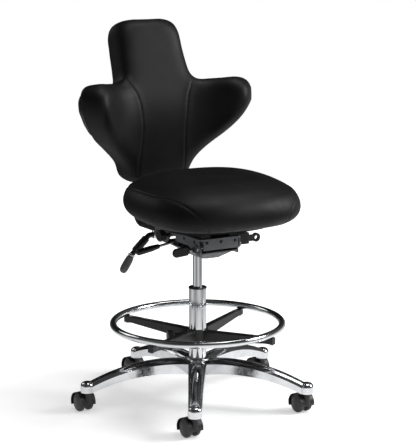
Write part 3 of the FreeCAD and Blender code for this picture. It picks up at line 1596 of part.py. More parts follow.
def make_depth_latch():
    """The latch box on the seat frame's side, and the loop-ended lever that turns in it."""
    box = new_body("depth_latch_body")
    near, far = flange_outer, f"({flange_outer} + latch_length)"
    latch_height = "(plate_bottom - latch_bottom)"
    outline = rounded_rectangle(near, far, "(latch_y - latch_half)", "(latch_y + latch_half)", "flange_wall")
    sketch = add_sketch(box, "XY_Plane", "latch_outline", [outline], offset="latch_bottom")
    extrude(box, "Pad", "latch", sketch, latch_height)
    gap = "(depth_arm_thickness / 2 + loose_fit)"
    slot_start = f"({far} - 3 * depth_arm_half)"
    slot = [
        (slot_start, f"latch_y - {gap}"),
        (f"{far} + {gap}", f"latch_y - {gap}"),
        (f"{far} + {gap}", f"latch_y + {gap}"),
        (slot_start, f"latch_y + {gap}"),
    ]
    sketch = add_sketch(box, "XY_Plane", "slot_outline", [slot], offset="latch_bottom")
    extrude(box, "Pocket", "lever_slot", sketch, latch_height, reverse=True)
    pivot_x = f"({far} - latch_pivot_inset)"
    pivot_z = "(latch_bottom + latch_pivot_rise)"
    hole = add_sketch(
        box, "XZ_Plane", "pivot_circle", circles=[(pivot_x, pivot_z, "lever_pivot_pin + running_fit")],
        offset="-latch_y",
    )
    extrude(box, "Pocket", "pivot_hole", hole, "3 * latch_half", symmetric=True)
    keep(box, "depth_latch")

    lever = new_body("depth_lever_body")
    half = "depth_arm_half"
    loop_x = f"({pivot_x} + depth_arm_reach)"
    side = [
        (pivot_x, f"{pivot_z} - {half}"),
        (loop_x, f"{pivot_z} - {half}"),
        (loop_x, f"{pivot_z} + {half}"),
        (pivot_x, f"{pivot_z} + {half}", half, 1),
        (f"{pivot_x} - {half}", pivot_z, half, 1),
    ]
    arm = add_sketch(lever, "XZ_Plane", "arm_side", [side], offset="-latch_y")
    extrude(lever, "Pad", "arm", arm, "depth_arm_thickness", symmetric=True)
    round_loop = [(loop_x, pivot_z, "loop_radius")]
    loop = add_sketch(lever, "XZ_Plane", "loop_circle", circles=round_loop, offset="-latch_y")
    extrude(lever, "Pad", "loop", loop, "depth_arm_thickness", symmetric=True)
    finger_hole = [(loop_x, pivot_z, "loop_hole")]
    hole = add_sketch(lever, "XZ_Plane", "hole_circle", circles=finger_hole, offset="-latch_y")
    extrude(lever, "Pocket", "finger_hole", hole, "2 * depth_arm_thickness", symmetric=True)
    pin = add_sketch(
        lever, "XZ_Plane", "pin_circle", circles=[(pivot_x, pivot_z, "lever_pivot_pin")], offset="-latch_y"
    )
    extrude(lever, "Pad", "pivot", pin, "2 * latch_half", symmetric=True)
    keep(lever, "depth_lever")


make_star_base()
make_column()
make_gas_lift()
make_casters()
make_foot_ring()
make_pan()
make_socket()
make_cross_pin("tilt_pin", "tilt_y", "tilt_z", "tilt_pin_radius", f"({flange_outer} + running_fit)")
make_tilt_spring()
make_seat_frame()
make_cross_pin("recline_pin", "recline_y", "tilt_z", "tilt_pin_radius", f"({flange_outer} + running_fit)")
make_rails()
make_seat()
make_back_bar()
make_back_sleeve()
make_backrest()
make_tilt_lever()
make_height_lever()
make_back_lever()
make_tension_knob()
make_depth_latch()

doc.recompute()
for thing in doc.Objects:
    if "Invalid" in thing.State or "Error" in thing.State:
        raise RuntimeError(f"{thing.Label} failed: {thing.State}")
for piece in PIECES:
    if piece.Shape.isNull() or not piece.Shape.isValid():
        raise RuntimeError(f"{piece.Label} has no valid shape")
os.makedirs("parts", exist_ok=True)
for piece in PIECES:
    piece.Shape.exportStep(f"parts/{piece.Label}.step")
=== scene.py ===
import json
import math

import bmesh
import bpy
import numpy as np
from mathutils import Matrix, Vector
from mathutils.bvhtree import BVHTree
from mathutils.kdtree import KDTree


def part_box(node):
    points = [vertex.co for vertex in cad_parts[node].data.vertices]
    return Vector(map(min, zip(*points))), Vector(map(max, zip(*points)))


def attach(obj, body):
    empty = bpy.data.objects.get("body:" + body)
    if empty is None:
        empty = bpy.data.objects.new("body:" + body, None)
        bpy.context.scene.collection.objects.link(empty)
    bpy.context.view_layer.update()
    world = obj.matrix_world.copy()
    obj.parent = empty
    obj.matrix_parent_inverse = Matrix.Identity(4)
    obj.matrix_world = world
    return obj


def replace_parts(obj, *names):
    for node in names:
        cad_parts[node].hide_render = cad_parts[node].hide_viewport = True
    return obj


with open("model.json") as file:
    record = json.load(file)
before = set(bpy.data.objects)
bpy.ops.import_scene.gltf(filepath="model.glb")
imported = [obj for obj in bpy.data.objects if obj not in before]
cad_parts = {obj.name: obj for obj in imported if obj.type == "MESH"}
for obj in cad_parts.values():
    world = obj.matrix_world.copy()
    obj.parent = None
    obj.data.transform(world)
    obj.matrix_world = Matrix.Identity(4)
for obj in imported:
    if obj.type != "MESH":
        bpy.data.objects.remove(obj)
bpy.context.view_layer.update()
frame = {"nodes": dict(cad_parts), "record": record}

MM = 0.001
# Faces that meet at a wider angle than this keep a sharp edge between them
SHARP_EDGE = math.radians(30)
nodes = frame["nodes"]
scene = bpy.context.scene


# Camera at the photograph's viewing angle: the long side of the frame is its height
CAMERA_SPOT = Vector((-2.150, -3.7239, 1.3661))
CAMERA_AIM = Vector((0.49685, 0.84683, -0.18984))
CAMERA_LENS = 123.23
SENSOR = 36
CAMERA_REACH = 50


def add_camera():
    """Puts the camera where the photograph was taken from."""
    camera = bpy.data.objects.new("camera", bpy.data.cameras.new("camera"))
    camera.data.lens = CAMERA_LENS
    camera.data.sensor_width = SENSOR
    camera.data.clip_end = CAMERA_REACH
    camera.location = CAMERA_SPOT
    camera.rotation_mode = "QUATERNION"
    camera.rotation_quaternion = CAMERA_AIM.to_track_quat("-Z", "Y")
    scene.collection.objects.link(camera)
    scene.camera = camera


# Shader helpers
def linear(hex_colour):
    """An sRGB hex value as a linear colour."""
    parts = [int(hex_colour[i:i + 2], 16) / 255 for i in (1, 3, 5)]
    return tuple(c / 12.92 if c <= 0.04045 else ((c + 0.055) / 1.055) ** 2.4 for c in parts) + (1,)


def feed(tree, node, inputs):
    """Sets a node's inputs to values, or links them to other nodes' outputs.

    Sockets that share a name, such as those of Mix and Math, go by their number.
    """
    for socket, source in inputs.items():
        if isinstance(source, bpy.types.NodeSocket):
            tree.links.new(source, node.inputs[socket])
        else:
            node.inputs[socket].default_value = source


def add_node(tree, kind, inputs=None, **settings):
    """Adds one node with its settings, and feeds its inputs."""
    node = tree.nodes.new(kind)
    for name, setting in settings.items():
        setattr(node, name, setting)
    feed(tree, node, inputs or {})
    return node


def new_finish(name):
    """A new material, with its node tree, its shader and each point's place on the piece."""
    finish = bpy.data.materials.new(name)
    finish.use_nodes = True
    tree = finish.node_tree
    spot = add_node(tree, "ShaderNodeTexCoord").outputs["Object"]
    return finish, tree, tree.nodes["Principled BSDF"], spot


# The levels between which most of a noise pattern lies
NOISE_LOW = 0.3
NOISE_HIGH = 0.7


def per_mm(size):
    """The scale of a pattern whose features are this many millimetres wide."""
    return 1 / (size * MM)


def patches(tree, spot, size, low, high, detail=3.0):
    """A value that wanders between low and high, in patches of a size in millimetres."""
    noise = add_node(tree, "ShaderNodeTexNoise", {
        "Vector": spot, "Scale": per_mm(size), "Detail": detail,
    })
    return add_node(tree, "ShaderNodeMapRange", {
        "Value": noise.outputs["Fac"], "From Min": NOISE_LOW, "From Max": NOISE_HIGH,
        "To Min": low, "To Max": high,
    }).outputs["Result"]


def tones(tree, spot, size, dark, light):
    """A colour that wanders between two hex values, in patches of a size in millimetres."""
    return add_node(tree, "ShaderNodeMix", {
        0: patches(tree, spot, size, 0, 1), 6: linear(dark), 7: linear(light),
    }, data_type="RGBA").outputs[2]


def relief(tree, spot, size, depth, strength, detail=2.0):
    """Soft bumps, with their size and depth in millimetres."""
    noise = add_node(tree, "ShaderNodeTexNoise", {
        "Vector": spot, "Scale": per_mm(size), "Detail": detail,
    })
    return add_node(tree, "ShaderNodeBump", {
        "Height": noise.outputs["Fac"], "Distance": depth * MM, "Strength": strength,
    }).outputs["Normal"]


# Materials
def sewn_vinyl():
    """Calendered vinyl cover: a close pebble grain that breaks up a soft, wide highlight.

    The real pebbles are under a millimetre, so they are drawn a little coarser to show.
    """
    finish, tree, shader, spot = new_finish("vinyl_cover")
    warp = add_node(tree, "ShaderNodeTexNoise", {"Vector": spot, "Scale": per_mm(6), "Detail": 2.0})
    bent = add_node(tree, "ShaderNodeVectorMath", {
        0: warp.outputs["Color"], 1: (2 * MM, 2 * MM, 2 * MM), 2: spot,
    }, operation="MULTIPLY_ADD")
    pebble = add_node(tree, "ShaderNodeTexVoronoi", {
        "Vector": bent.outputs["Vector"], "Scale": per_mm(1.6), "Smoothness": 0.6,
    }, feature="SMOOTH_F1")
    grain = add_node(tree, "ShaderNodeBump", {
        "Height": pebble.outputs["Distance"], "Distance": 0.12 * MM, "Strength": 0.35,
    })
    feed(tree, shader, {
        "Base Color": tones(tree, spot, 70, "#080809", "#0d0d0e"),
        "Roughness": patches(tree, spot, 45, 0.48, 0.56),
        "Specular IOR Level": 0.22,
        "Normal": grain.outputs["Normal"],
    })
    return finish


def seam_thread():
    """Bonded polyester sewing thread: matt, as black as the cover."""
    finish, tree, shader, spot = new_finish("sewing_thread")
    feed(tree, shader, {
        "Base Color": tones(tree, spot, 1.5, "#0c0c0d", "#141415"),
        "Roughness": 0.75,
    })
    return finish


def polished_aluminium():
    """Die-cast aluminium, buffed by hand: mirror bright, with slow waves and an uneven polish."""
    finish, tree, shader, spot = new_finish("polished_aluminium")
    feed(tree, shader, {
        "Base Color": tones(tree, spot, 40, "#d2d3d6", "#e2e3e5"),
        "Metallic": 1.0,
        "Roughness": patches(tree, spot, 9, 0.09, 0.19, detail=6.0),
        "Normal": relief(tree, spot, 28, 0.2, 0.4),
    })
    return finish


def chrome_plate():
    """Bright chrome on drawn tube: a clean mirror with a trace of wiping haze."""
    finish, tree, shader, spot = new_finish("chrome_plate")
    feed(tree, shader, {
        "Base Color": linear("#dfe1e3"),
        "Metallic": 1.0,
        "Roughness": patches(tree, spot, 30, 0.09, 0.16, detail=5.0),
    })
    return finish


def zinc_plate():
    """Zinc-plated steel: dull silver, slightly clouded where the bath left it uneven."""
    finish, tree, shader, spot = new_finish("zinc_plate")
    feed(tree, shader, {
        "Base Color": tones(tree, spot, 7, "#9a9ca2", "#b8b9bb"),
        "Metallic": 1.0,
        "Roughness": patches(tree, spot, 4, 0.28, 0.42),
    })
    return finish


def powder_coat(name, dark, light, smoothest, roughest):
    """Baked powder paint on pressed steel: satin, with a fine orange-peel ripple."""
    finish, tree, shader, spot = new_finish(name)
    feed(tree, shader, {
        "Base Color": tones(tree, spot, 25, dark, light),
        "Roughness": patches(tree, spot, 12, smoothest, roughest),
        "IOR": 1.5,
        "Normal": relief(tree, spot, 1.8, 0.08, 0.5, detail=1.0),
    })
    return finish


def moulded_nylon(name, dark, light, smoothest, roughest):
    """Glass-filled nylon from a spark-eroded mould: even, matt and finely pitted.

    The real pits are a fraction of a millimetre, so they are drawn coarser to show.
    """
    finish, tree, shader, spot = new_finish(name)
    feed(tree, shader, {
        "Base Color": tones(tree, spot, 18, dark, light),
        "Roughness": patches(tree, spot, 6, smoothest, roughest),
        "IOR": 1.53,
        "Normal": relief(tree, spot, 0.9, 0.06, 0.5),
    })
    return finish


def dust_cloth():
    """Non-woven polypropylene stapled under the plywood: black, fibrous and matt.

    Its fibres are far thinner than a millimetre, so they are drawn coarser to show.
    """
    finish, tree, shader, spot = new_finish("dust_cloth")
    fibre = add_node(tree, "ShaderNodeTexNoise", {"Vector": spot, "Scale": per_mm(1.2), "Detail": 6.0})
    tint = add_node(tree, "ShaderNodeMix", {
        0: fibre.outputs["Fac"], 6: linear("#101010"), 7: linear("#1d1d1d"),
    }, data_type="RGBA")
    nap = add_node(tree, "ShaderNodeBump", {
        "Height": fibre.outputs["Fac"], "Distance": 0.2 * MM, "Strength": 0.6,
    })
    feed(tree, shader, {
        "Base Color": tint.outputs[2],
        "Roughness": 0.9,
        "Normal": nap.outputs["Normal"],
    })
    return finish


# The record's material slots and their finishes; the thread is sewn into vinyl and has no slot of its own
FINISHES = {
    "vinyl": sewn_vinyl(),
    "thread": seam_thread(),
    "polished_aluminium": polished_aluminium(),
    "chrome": chrome_plate(),
    "zinc_steel": zinc_plate(),
    "grey_paint": powder_coat("silver_powder_coat", "#66686b", "#747679", 0.37, 0.49),
    "black_paint": powder_coat("black_powder_coat", "#151516", "#1d1d1e", 0.35, 0.47),
    "black_plastic": moulded_nylon("black_nylon", "#121213", "#1a1a1b", 0.39, 0.53),
    "grey_plastic": moulded_nylon("grey_nylon", "#5c5d60", "#6a6b6e", 0.30, 0.44),
    "wheel_tread": moulded_nylon("wheel_nylon", "#242526", "#2e2f31", 0.36, 0.50),
    "plywood": dust_cloth(),
}


def dress(piece, finish):
    """Gives a piece one finish in place of any other."""
    piece.data.materials.clear()
    piece.data.materials.append(FINISHES[finish])


def dress_frame():
    """Gives every node the finish of its slot, with smooth shading across gentle edges."""
    for part in frame["record"]["subparts"]:
        node = nodes[part["node"]]
        dress(node, part["material_slot"])
        node.data.shade_smooth()
        node.data.set_sharp_from_angle(angle=SHARP_EDGE)


# Upholstery: each cushion is foam that swells against its cover, then seams are sewn into it
# The size of a mesh cell, how close points are joined, and how far one round of smoothing goes
VOXEL = 5 * MM
WELD = MM / 100
SMOOTH_STEP = 0.5
# The swelling's frames and pressure, and the rounds that even it out
SIM_FRAMES = 20
FOAM_PRESSURE = 4.0
TAUT_ROUNDS = 30
# How far a cover starts inside its solid, how far it may swell from there, and how full the pads are
SHRINK = 4 * MM
REACH = 6 * MM
# Rounds of smoothing: all over each pad, then on the seat's top and on the back's front
SEAT_EASE = 20
TOP_EASE = 250
BACK_EASE = 16
FRONT_EASE = 120
# How squarely a face must look up or forward to be smoothed a little, and to be smoothed fully
TOP_FACING = (0.75, 1.0)
FRONT_FACING = (0.0, 0.35)
# The seat's rim that is stapled to its board, and the part of the back that faces its shell
STAPLED_EDGE = 12 * MM
REAR_FACING = 0.2
# Where the back's foam is cut fuller than its plain solid: spot, shift and spread in millimetres
BACK_FULLER = [
    ((92, 320, 1074), (10, 0, 7), 38),
    ((262, 170, 912), (5, 0, 10), 50),
    ((215, 200, 775), (4, 0, -5), 80),
    ((96, 255, 650), (6, 0, -4), 44),
]
# Seams: the groove's width, its depth in seat and back, then the puffs beside it in widths of the groove,
# the puckers along it with their pitches in millimetres, and how far from it they fade
SEAM_WIDTH = 2.2 * MM
SEAT_SEAM_DEPTH = 1.2 * MM
BACK_SEAM_DEPTH = 1.4 * MM
PUFF_SHARE = 0.25
PUFF_AWAY = 4
PUFF_SPREAD = 3
PUCKER = 0.05 * MM
PUCKER_PITCHES = (17, 29, 43)
PUCKER_FADE = 22 * MM
# Points of a seam between two of its knots
PATH_STEPS = 24
# Stitches: how far beside the seam they run, and their size
STITCH_ASIDE = 5 * MM
STITCH_LENGTH = 4.2 * MM
STITCH_PITCH = 6 * MM
STITCH_RADIUS = 0.45 * MM
# Half of the seat's seam in millimetres: up the front corner, along the side and round the rear
SEAT_SEAM = [
    (-118, -262, 558), (-132, -273, 580), (-141, -273, 602), (-154, -264, 615), (-167, -248, 628),
    (-188, -205, 644), (-206, -154, 650), (-215, -85, 652), (-216, -24, 653), (-208, 50, 656),
    (-175, 104, 659), (-100, 127, 661),
]
SEAT_SEAM_REAR = (0, 131, 661)
# One of the back's two seams in millimetres, from the neck down to the lower edge
BACK_SEAM = [
    (-112, 214, 938), (-101, 207, 916), (-85, 200, 884), (-75, 192, 832), (-71, 191, 780),
    (-74, 197, 724), (-78, 202, 676), (-80, 206, 640),
]


def vertex_spots(mesh):
    """Vertex positions as an array."""
    flat = np.zeros(len(mesh.vertices) * 3)
    mesh.vertices.foreach_get("co", flat)
    return flat.reshape(-1, 3)


def vertex_facings(mesh):
    """Vertex normals as an array."""
    flat = np.zeros(len(mesh.vertices) * 3)
    mesh.vertex_normals.foreach_get("vector", flat)
    return flat.reshape(-1, 3)


def move_vertices(mesh, spots):
    """Puts a mesh's vertices at new positions."""
    mesh.vertices.foreach_set("co", spots.ravel())
    mesh.update()


def apply_modifiers(piece):
    """Puts what the modifiers make into the piece's own mesh."""
    graph = bpy.context.evaluated_depsgraph_get()
    made = bpy.data.meshes.new_from_object(piece.evaluated_get(graph))
    piece.modifiers.clear()
    piece.data = made


def ease(piece, rounds):
    """Adds smoothing to a piece."""
    smooth = piece.modifiers.new("eased", "SMOOTH")
    smooth.factor = SMOOTH_STEP
    smooth.iterations = rounds
    return smooth


def foam_core(name, node, rounds):
    """A closed, evenly meshed, eased copy of a soft solid, drawn in by what the foam will swell."""
    mesh = nodes[node].data.copy()
    shape = bmesh.new()
    shape.from_mesh(mesh)
    bmesh.ops.remove_doubles(shape, verts=shape.verts, dist=WELD)
    shape.to_mesh(mesh)
    shape.free()
    piece = bpy.data.objects.new(name, mesh)
    scene.collection.objects.link(piece)
    remesh = piece.modifiers.new("even_mesh", "REMESH")
    remesh.mode = "VOXEL"
    remesh.voxel_size = VOXEL
    ease(piece, rounds)
    apply_modifiers(piece)
    mesh = piece.data
    move_vertices(mesh, vertex_spots(mesh) - vertex_facings(mesh) * SHRINK)
    return piece


def ease_face(piece, outward, limits, rounds):
    """Smooths only the face that looks one way, so that it is crowned and rolls over its rim."""
    little, full = limits
    turned_to = vertex_facings(piece.data) @ np.array(outward)
    face = piece.vertex_groups.new(name="face")
    for number, share in enumerate(np.clip((turned_to - little) / (full - little), 0, 1)):
        face.add([number], float(share), "REPLACE")
    ease(piece, rounds).vertex_group = face.name
    apply_modifiers(piece)


def fill_out(piece, places):
    """Pushes the foam out round a few places, the same on both sides."""
    spots = vertex_spots(piece.data)
    pushed = spots.copy()
    for place, shift, spread in places:
        for side in (1, -1):
            turn = np.array((side, 1, 1))
            away = np.linalg.norm(spots - np.array(place) * turn * MM, axis=1)
            share = np.exp(-((away / (spread * MM)) ** 2))
            pushed += share[:, None] * np.array(shift) * turn * MM
    move_vertices(piece.data, pushed)


def spread_out(mesh, amounts, rounds):
    """Evens out an amount per vertex between neighbours, as a taut cover does."""
    ends = np.zeros(len(mesh.edges) * 2, dtype=int)
    mesh.edges.foreach_get("vertices", ends)
    ends = ends.reshape(-1, 2)
    count = np.bincount(ends.ravel(), minlength=len(amounts))
    for _ in range(rounds):
        total = np.bincount(ends[:, 0], amounts[ends[:, 1]], len(amounts))
        total += np.bincount(ends[:, 1], amounts[ends[:, 0]], len(amounts))
        amounts = (amounts + total / count) / 2
    return amounts


def swell(piece, reach):
    """Blows the cover up from inside: at least back to its solid, and no further than its reach."""
    before = vertex_spots(piece.data)
    outward = vertex_facings(piece.data)
    cloth = piece.modifiers.new("cover", "CLOTH")
    cloth.settings.use_pressure = True
    cloth.settings.uniform_pressure_force = FOAM_PRESSURE
    cloth.settings.effector_weights.gravity = 0
    cloth.point_cache.frame_end = SIM_FRAMES
    for number in range(1, SIM_FRAMES + 1):
        scene.frame_set(number)
    graph = bpy.context.evaluated_depsgraph_get()
    after = vertex_spots(piece.evaluated_get(graph).data)
    piece.modifiers.clear()
    scene.frame_set(1)
    push = np.clip(np.sum((after - before) * outward, axis=1), SHRINK, reach)
    push = spread_out(piece.data, push, TAUT_ROUNDS)
    move_vertices(piece.data, before + outward * push[:, None])
    piece.modifiers.new("finer", "SUBSURF").levels = 1
    apply_modifiers(piece)
    piece.data.shade_smooth()


def smooth_path(points):
    """A dense path, in metres, along a smooth curve through a few points in millimetres."""
    curve = bpy.data.curves.new("path", "CURVE")
    curve.dimensions = "3D"
    curve.resolution_u = PATH_STEPS
    spline = curve.splines.new("BEZIER")
    spline.bezier_points.add(len(points) - 1)
    for knot, point in zip(spline.bezier_points, points):
        knot.co = Vector(point) * MM
        knot.handle_left_type = knot.handle_right_type = "AUTO"
    holder = bpy.data.objects.new("path", curve)
    mesh = bpy.data.meshes.new_from_object(holder)
    path = [vertex.co.copy() for vertex in mesh.vertices]
    bpy.data.objects.remove(holder)
    return path


def lay_on(piece, path):
    """The path moved onto the piece's surface, as (spot, normal) pairs."""
    surface = BVHTree.FromObject(piece, bpy.context.evaluated_depsgraph_get())
    return [surface.find_nearest(point)[:2] for point in path]


def sew(piece, path, depth):
    """Sinks a seam along the path, with the cover puffed and slightly puckered beside it."""
    seam = lay_on(piece, path)
    tree = KDTree(len(seam))
    for number, (spot, _) in enumerate(seam):
        tree.insert(spot, number)
    tree.balance()
    run = np.cumsum([0] + [(b[0] - a[0]).length for a, b in zip(seam, seam[1:])])
    spots = vertex_spots(piece.data)
    nearest = [tree.find(spot) for spot in spots]
    away = np.array([found[2] for found in nearest])
    along = run[[found[1] for found in nearest]]
    ripple = sum(np.sin(2 * math.pi * along / (pitch * MM) + pitch) for pitch in PUCKER_PITCHES)
    widths = away / SEAM_WIDTH
    groove = -depth * np.exp(-(widths ** 2))
    puff = depth * PUFF_SHARE * np.exp(-(((widths - PUFF_AWAY) / PUFF_SPREAD) ** 2))
    wrinkle = PUCKER * ripple * np.exp(-away / PUCKER_FADE)
    push = groove + puff + wrinkle
    move_vertices(piece.data, spots + vertex_facings(piece.data) * push[:, None])


def stitches(name, piece, paths):
    """Rows of thread stitches that lie on the cover beside each seam."""
    shape = bmesh.new()
    for path in paths:
        seam = lay_on(piece, path)
        gone = STITCH_PITCH
        shifted = []
        for (spot, normal), (after, _) in zip(seam, seam[1:]):
            ahead = after - spot
            gone += ahead.length
            if gone >= STITCH_PITCH and ahead.length > 0:
                gone = 0
                beside = spot + normal.cross(ahead).normalized() * STITCH_ASIDE
                shifted.append((beside, ahead.normalized()))
        rows = lay_on(piece, [spot for spot, _ in shifted])
        for (spot, normal), (_, ahead) in zip(rows, shifted):
            across = normal.cross(ahead).normalized()
            place = Matrix((ahead, across, normal)).transposed().to_4x4()
            place.translation = spot
            size = Matrix.Diagonal((STITCH_LENGTH / 2, STITCH_RADIUS, STITCH_RADIUS, 1))
            bmesh.ops.create_icosphere(shape, subdivisions=1, radius=1, matrix=place @ size)
    mesh = bpy.data.meshes.new(name)
    shape.to_mesh(mesh)
    shape.free()
    mesh.shade_smooth()
    row = bpy.data.objects.new(name, mesh)
    scene.collection.objects.link(row)
    return row


def mirrored(points):
    """The same points on the other side of the chair."""
    return [(-x, y, z) for x, y, z in points]


def seat_cushion():
    """The seat's pad, flat where it rests on its board, with one seam round its top and front."""
    piece = foam_core("seat_padding", "seat_cushion", SEAT_EASE)
    ease_face(piece, (0, 0, 1), TOP_FACING, TOP_EASE)
    board_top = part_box("seat_cushion")[0].z
    lift = vertex_spots(piece.data)[:, 2] - board_top
    swell(piece, np.where(lift < STAPLED_EDGE, SHRINK, REACH))
    spots = vertex_spots(piece.data)
    spots[:, 2] = np.maximum(spots[:, 2], board_top)
    move_vertices(piece.data, spots)
    seam = smooth_path(SEAT_SEAM + [SEAT_SEAM_REAR] + mirrored(reversed(SEAT_SEAM)))
    sew(piece, seam, SEAT_SEAM_DEPTH)
    return piece, stitches("seat_stitching", piece, [seam])


def back_cushion():
    """The back's winged pad, flat against its shell, with a seam down each side of the middle."""
    piece = foam_core("back_padding", "back_cushion", BACK_EASE)
    fill_out(piece, BACK_FULLER)
    ease_face(piece, (0, -1, 0), FRONT_FACING, FRONT_EASE)
    rearward = vertex_facings(piece.data)[:, 1]
    swell(piece, np.where(rearward > REAR_FACING, SHRINK, REACH))
    seams = [smooth_path(BACK_SEAM), smooth_path(mirrored(BACK_SEAM))]
    for seam in seams:
        sew(piece, seam, BACK_SEAM_DEPTH)
    return piece, stitches("back_stitching", piece, seams)


def upholster(make, node, body):
    """Makes a cushion with its stitching, and puts both on the body that carries them."""
    piece, thread = make()
    dress(piece, "vinyl")
    dress(thread, "thread")
    for part in (piece, thread):
        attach(part, body)
    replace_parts(piece, node)


# Hardware that needs more detail than its solid
RING_POINTS = 48
# Half the angle that a side of a hexagon takes up
HALF_SIDE = math.pi / 6
# Points this close below a screw head's highest one lie on its outer face
SAME_FACE = MM / 10


def round_ring(radius, height):
    """Points of a circle about Z."""
    steps = [2 * math.pi * number / RING_POINTS for number in range(RING_POINTS)]
    return [Vector((radius * math.cos(angle), radius * math.sin(angle), height)) for angle in steps]


def hex_ring(flats, height):
    """As many points on a hexagon about Z, given half its width across flats."""
    ring = []
    for spot in round_ring(1, height):
        angle = math.atan2(spot.y, spot.x)
        off_middle = (angle + HALF_SIDE) % (2 * HALF_SIDE) - HALF_SIDE
        reach = flats / math.cos(off_middle)
        ring.append(Vector((spot.x * reach, spot.y * reach, height)))
    return ring


def skin(shape, rings, place, hollow=False):
    """Joins rings one after another; the ends are closed, or joined to each other for a hollow piece."""
    rows = [[shape.verts.new(place @ spot) for spot in ring] for ring in rings]
    pairs = list(zip(rows, rows[1:]))
    if hollow:
        pairs.append((rows[-1], rows[0]))
    else:
        shape.faces.new(list(reversed(rows[0])))
        shape.faces.new(rows[-1])
    for low, high in pairs:
        for number in range(RING_POINTS):
            after = (number + 1) % RING_POINTS
            shape.faces.new((low[number], low[after], high[after], high[number]))


def finish_piece(name, shape, slot, body):
    """Turns built faces into a smooth-shaded piece that rides on a body."""
    bmesh.ops.recalc_face_normals(shape, faces=shape.faces)
    mesh = bpy.data.meshes.new(name)
    shape.to_mesh(mesh)
    shape.free()
    mesh.shade_smooth()
    mesh.set_sharp_from_angle(angle=SHARP_EDGE)
    piece = bpy.data.objects.new(name, mesh)
    scene.collection.objects.link(piece)
    dress(piece, slot)
    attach(piece, body)
    return piece


def set_up(spot, direction):
    """The placement that takes Z to a direction and the origin to a spot, both given in millimetres."""
    place = Vector(direction).to_track_quat("Z", "Y").to_matrix().to_4x4()
    place.translation = Vector(spot) * MM
    return place


def head_spots(node, outward):
    """Middles of the outer faces of four screw heads that stand at the corners of a rectangle."""
    spots = vertex_spots(nodes[node].data)
    outward = np.array(outward)
    along = spots @ outward
    across = spots - along[:, None] * outward
    corner = across > across.mean(axis=0)
    wide = np.argsort(np.ptp(across, axis=0))[-2:]
    found = []
    for first in (False, True):
        for second in (False, True):
            here = (corner[:, wide[0]] == first) & (corner[:, wide[1]] == second)
            top = here & (along > along[here].max() - SAME_FACE)
            found.append((spots[top].min(axis=0) + spots[top].max(axis=0)) / 2)
    return found


# Screw sizes in millimetres: head, its edge, half the hexagon across flats, its depth, shanks
HEAD_RADIUS, HEAD_HEIGHT, HEAD_EDGE = 5.5, 3.3, 0.7
HEX_HALF, HEX_DEPTH = 2.0, 2.0
SHANK_RADIUS = 3.0
BACK_SHANK, SEAT_SHANK = 14, 10
# The head's rounding: how far in from its side and down from its face, in edges
HEAD_ROUNDING = [(0, 1.5), (0.4, 0.4), (1.5, 0)]
# How far the back's mounting face leans, and where its screws and the seat's screws face
BACK_LEAN = math.radians(9)
BACK_SCREWS_FACE = (0, math.cos(BACK_LEAN), math.sin(BACK_LEAN))
SEAT_SCREWS_FACE = (0, 0, -1)


def socket_screws(name, node, outward, shank, body):
    """Button-head screws with hexagon sockets in place of plain ones."""
    rings = [
        round_ring(SHANK_RADIUS - HEAD_EDGE, -HEAD_HEIGHT - shank),
        round_ring(SHANK_RADIUS, HEAD_EDGE - HEAD_HEIGHT - shank),
        round_ring(SHANK_RADIUS, -HEAD_HEIGHT),
        round_ring(HEAD_RADIUS, -HEAD_HEIGHT),
        *[
            round_ring(HEAD_RADIUS - inward * HEAD_EDGE, -down * HEAD_EDGE)
            for inward, down in HEAD_ROUNDING
        ],
        hex_ring(HEX_HALF, 0),
        hex_ring(HEX_HALF, -HEX_DEPTH),
    ]
    shape = bmesh.new()
    for spot in head_spots(node, outward):
        skin(shape, rings, set_up(spot / MM, outward) @ Matrix.Scale(MM, 4))
    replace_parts(finish_piece(name, shape, "zinc_steel", body), node)


# The back lever in millimetres: its arm's knee and elbow, the run of its grip, the radius of its rod,
# and the bore of what is pushed onto the rod
LEVER_KNEE = Vector((-94.15, 120, 488))
LEVER_ELBOW = Vector((-150.15, 120, 437))
LEVER_GRIP_RUN = Vector((-36, 0, -54))
LEVER_ROD = 8.0
SLEEVE_CLEARANCE = 0.1
SLEEVE_BORE = LEVER_ROD + SLEEVE_CLEARANCE
# The sleeve's radius at shares of the arm's length, and the band's at millimetres below the elbow
SLEEVE = [
    (SLEEVE_BORE, 0.14), (10.2, 0.15), (11.4, 0.19), (11.8, 0.5), (11.4, 0.80), (10.2, 0.84),
    (SLEEVE_BORE, 0.85),
]
BAND = [(SLEEVE_BORE, 0.5), (10.6, 0.5), (11.2, 1.3), (11.2, 5.2), (10.6, 6.0), (SLEEVE_BORE, 6.0)]


def lever_sleeve():
    """The rubber sleeve on the back lever's arm and the steel band above its grip."""
    run = LEVER_ELBOW - LEVER_KNEE
    shape = bmesh.new()
    rings = [round_ring(radius, share * run.length) for radius, share in SLEEVE]
    skin(shape, rings, set_up(LEVER_KNEE, run) @ Matrix.Scale(MM, 4), hollow=True)
    finish_piece("back_lever_sleeve", shape, "black_plastic", "back_lever")
    shape = bmesh.new()
    rings = [round_ring(radius, below) for radius, below in BAND]
    skin(shape, rings, set_up(LEVER_ELBOW, LEVER_GRIP_RUN) @ Matrix.Scale(MM, 4), hollow=True)
    finish_piece("back_lever_band", shape, "chrome", "back_lever")


# The paddle grip along its run in millimetres: how far, half its width, half its thickness
PADDLE = [
    (7.0, 8.6, 7.6), (7.4, 9.8, 8.2), (10, 11.0, 8.6), (18, 12.4, 9.0), (30, 13.0, 9.2), (44, 13.0, 9.2),
    (52, 12.0, 8.6), (57, 9.6, 7.0), (60, 6.0, 4.6), (61, 2.4, 2.0),
]


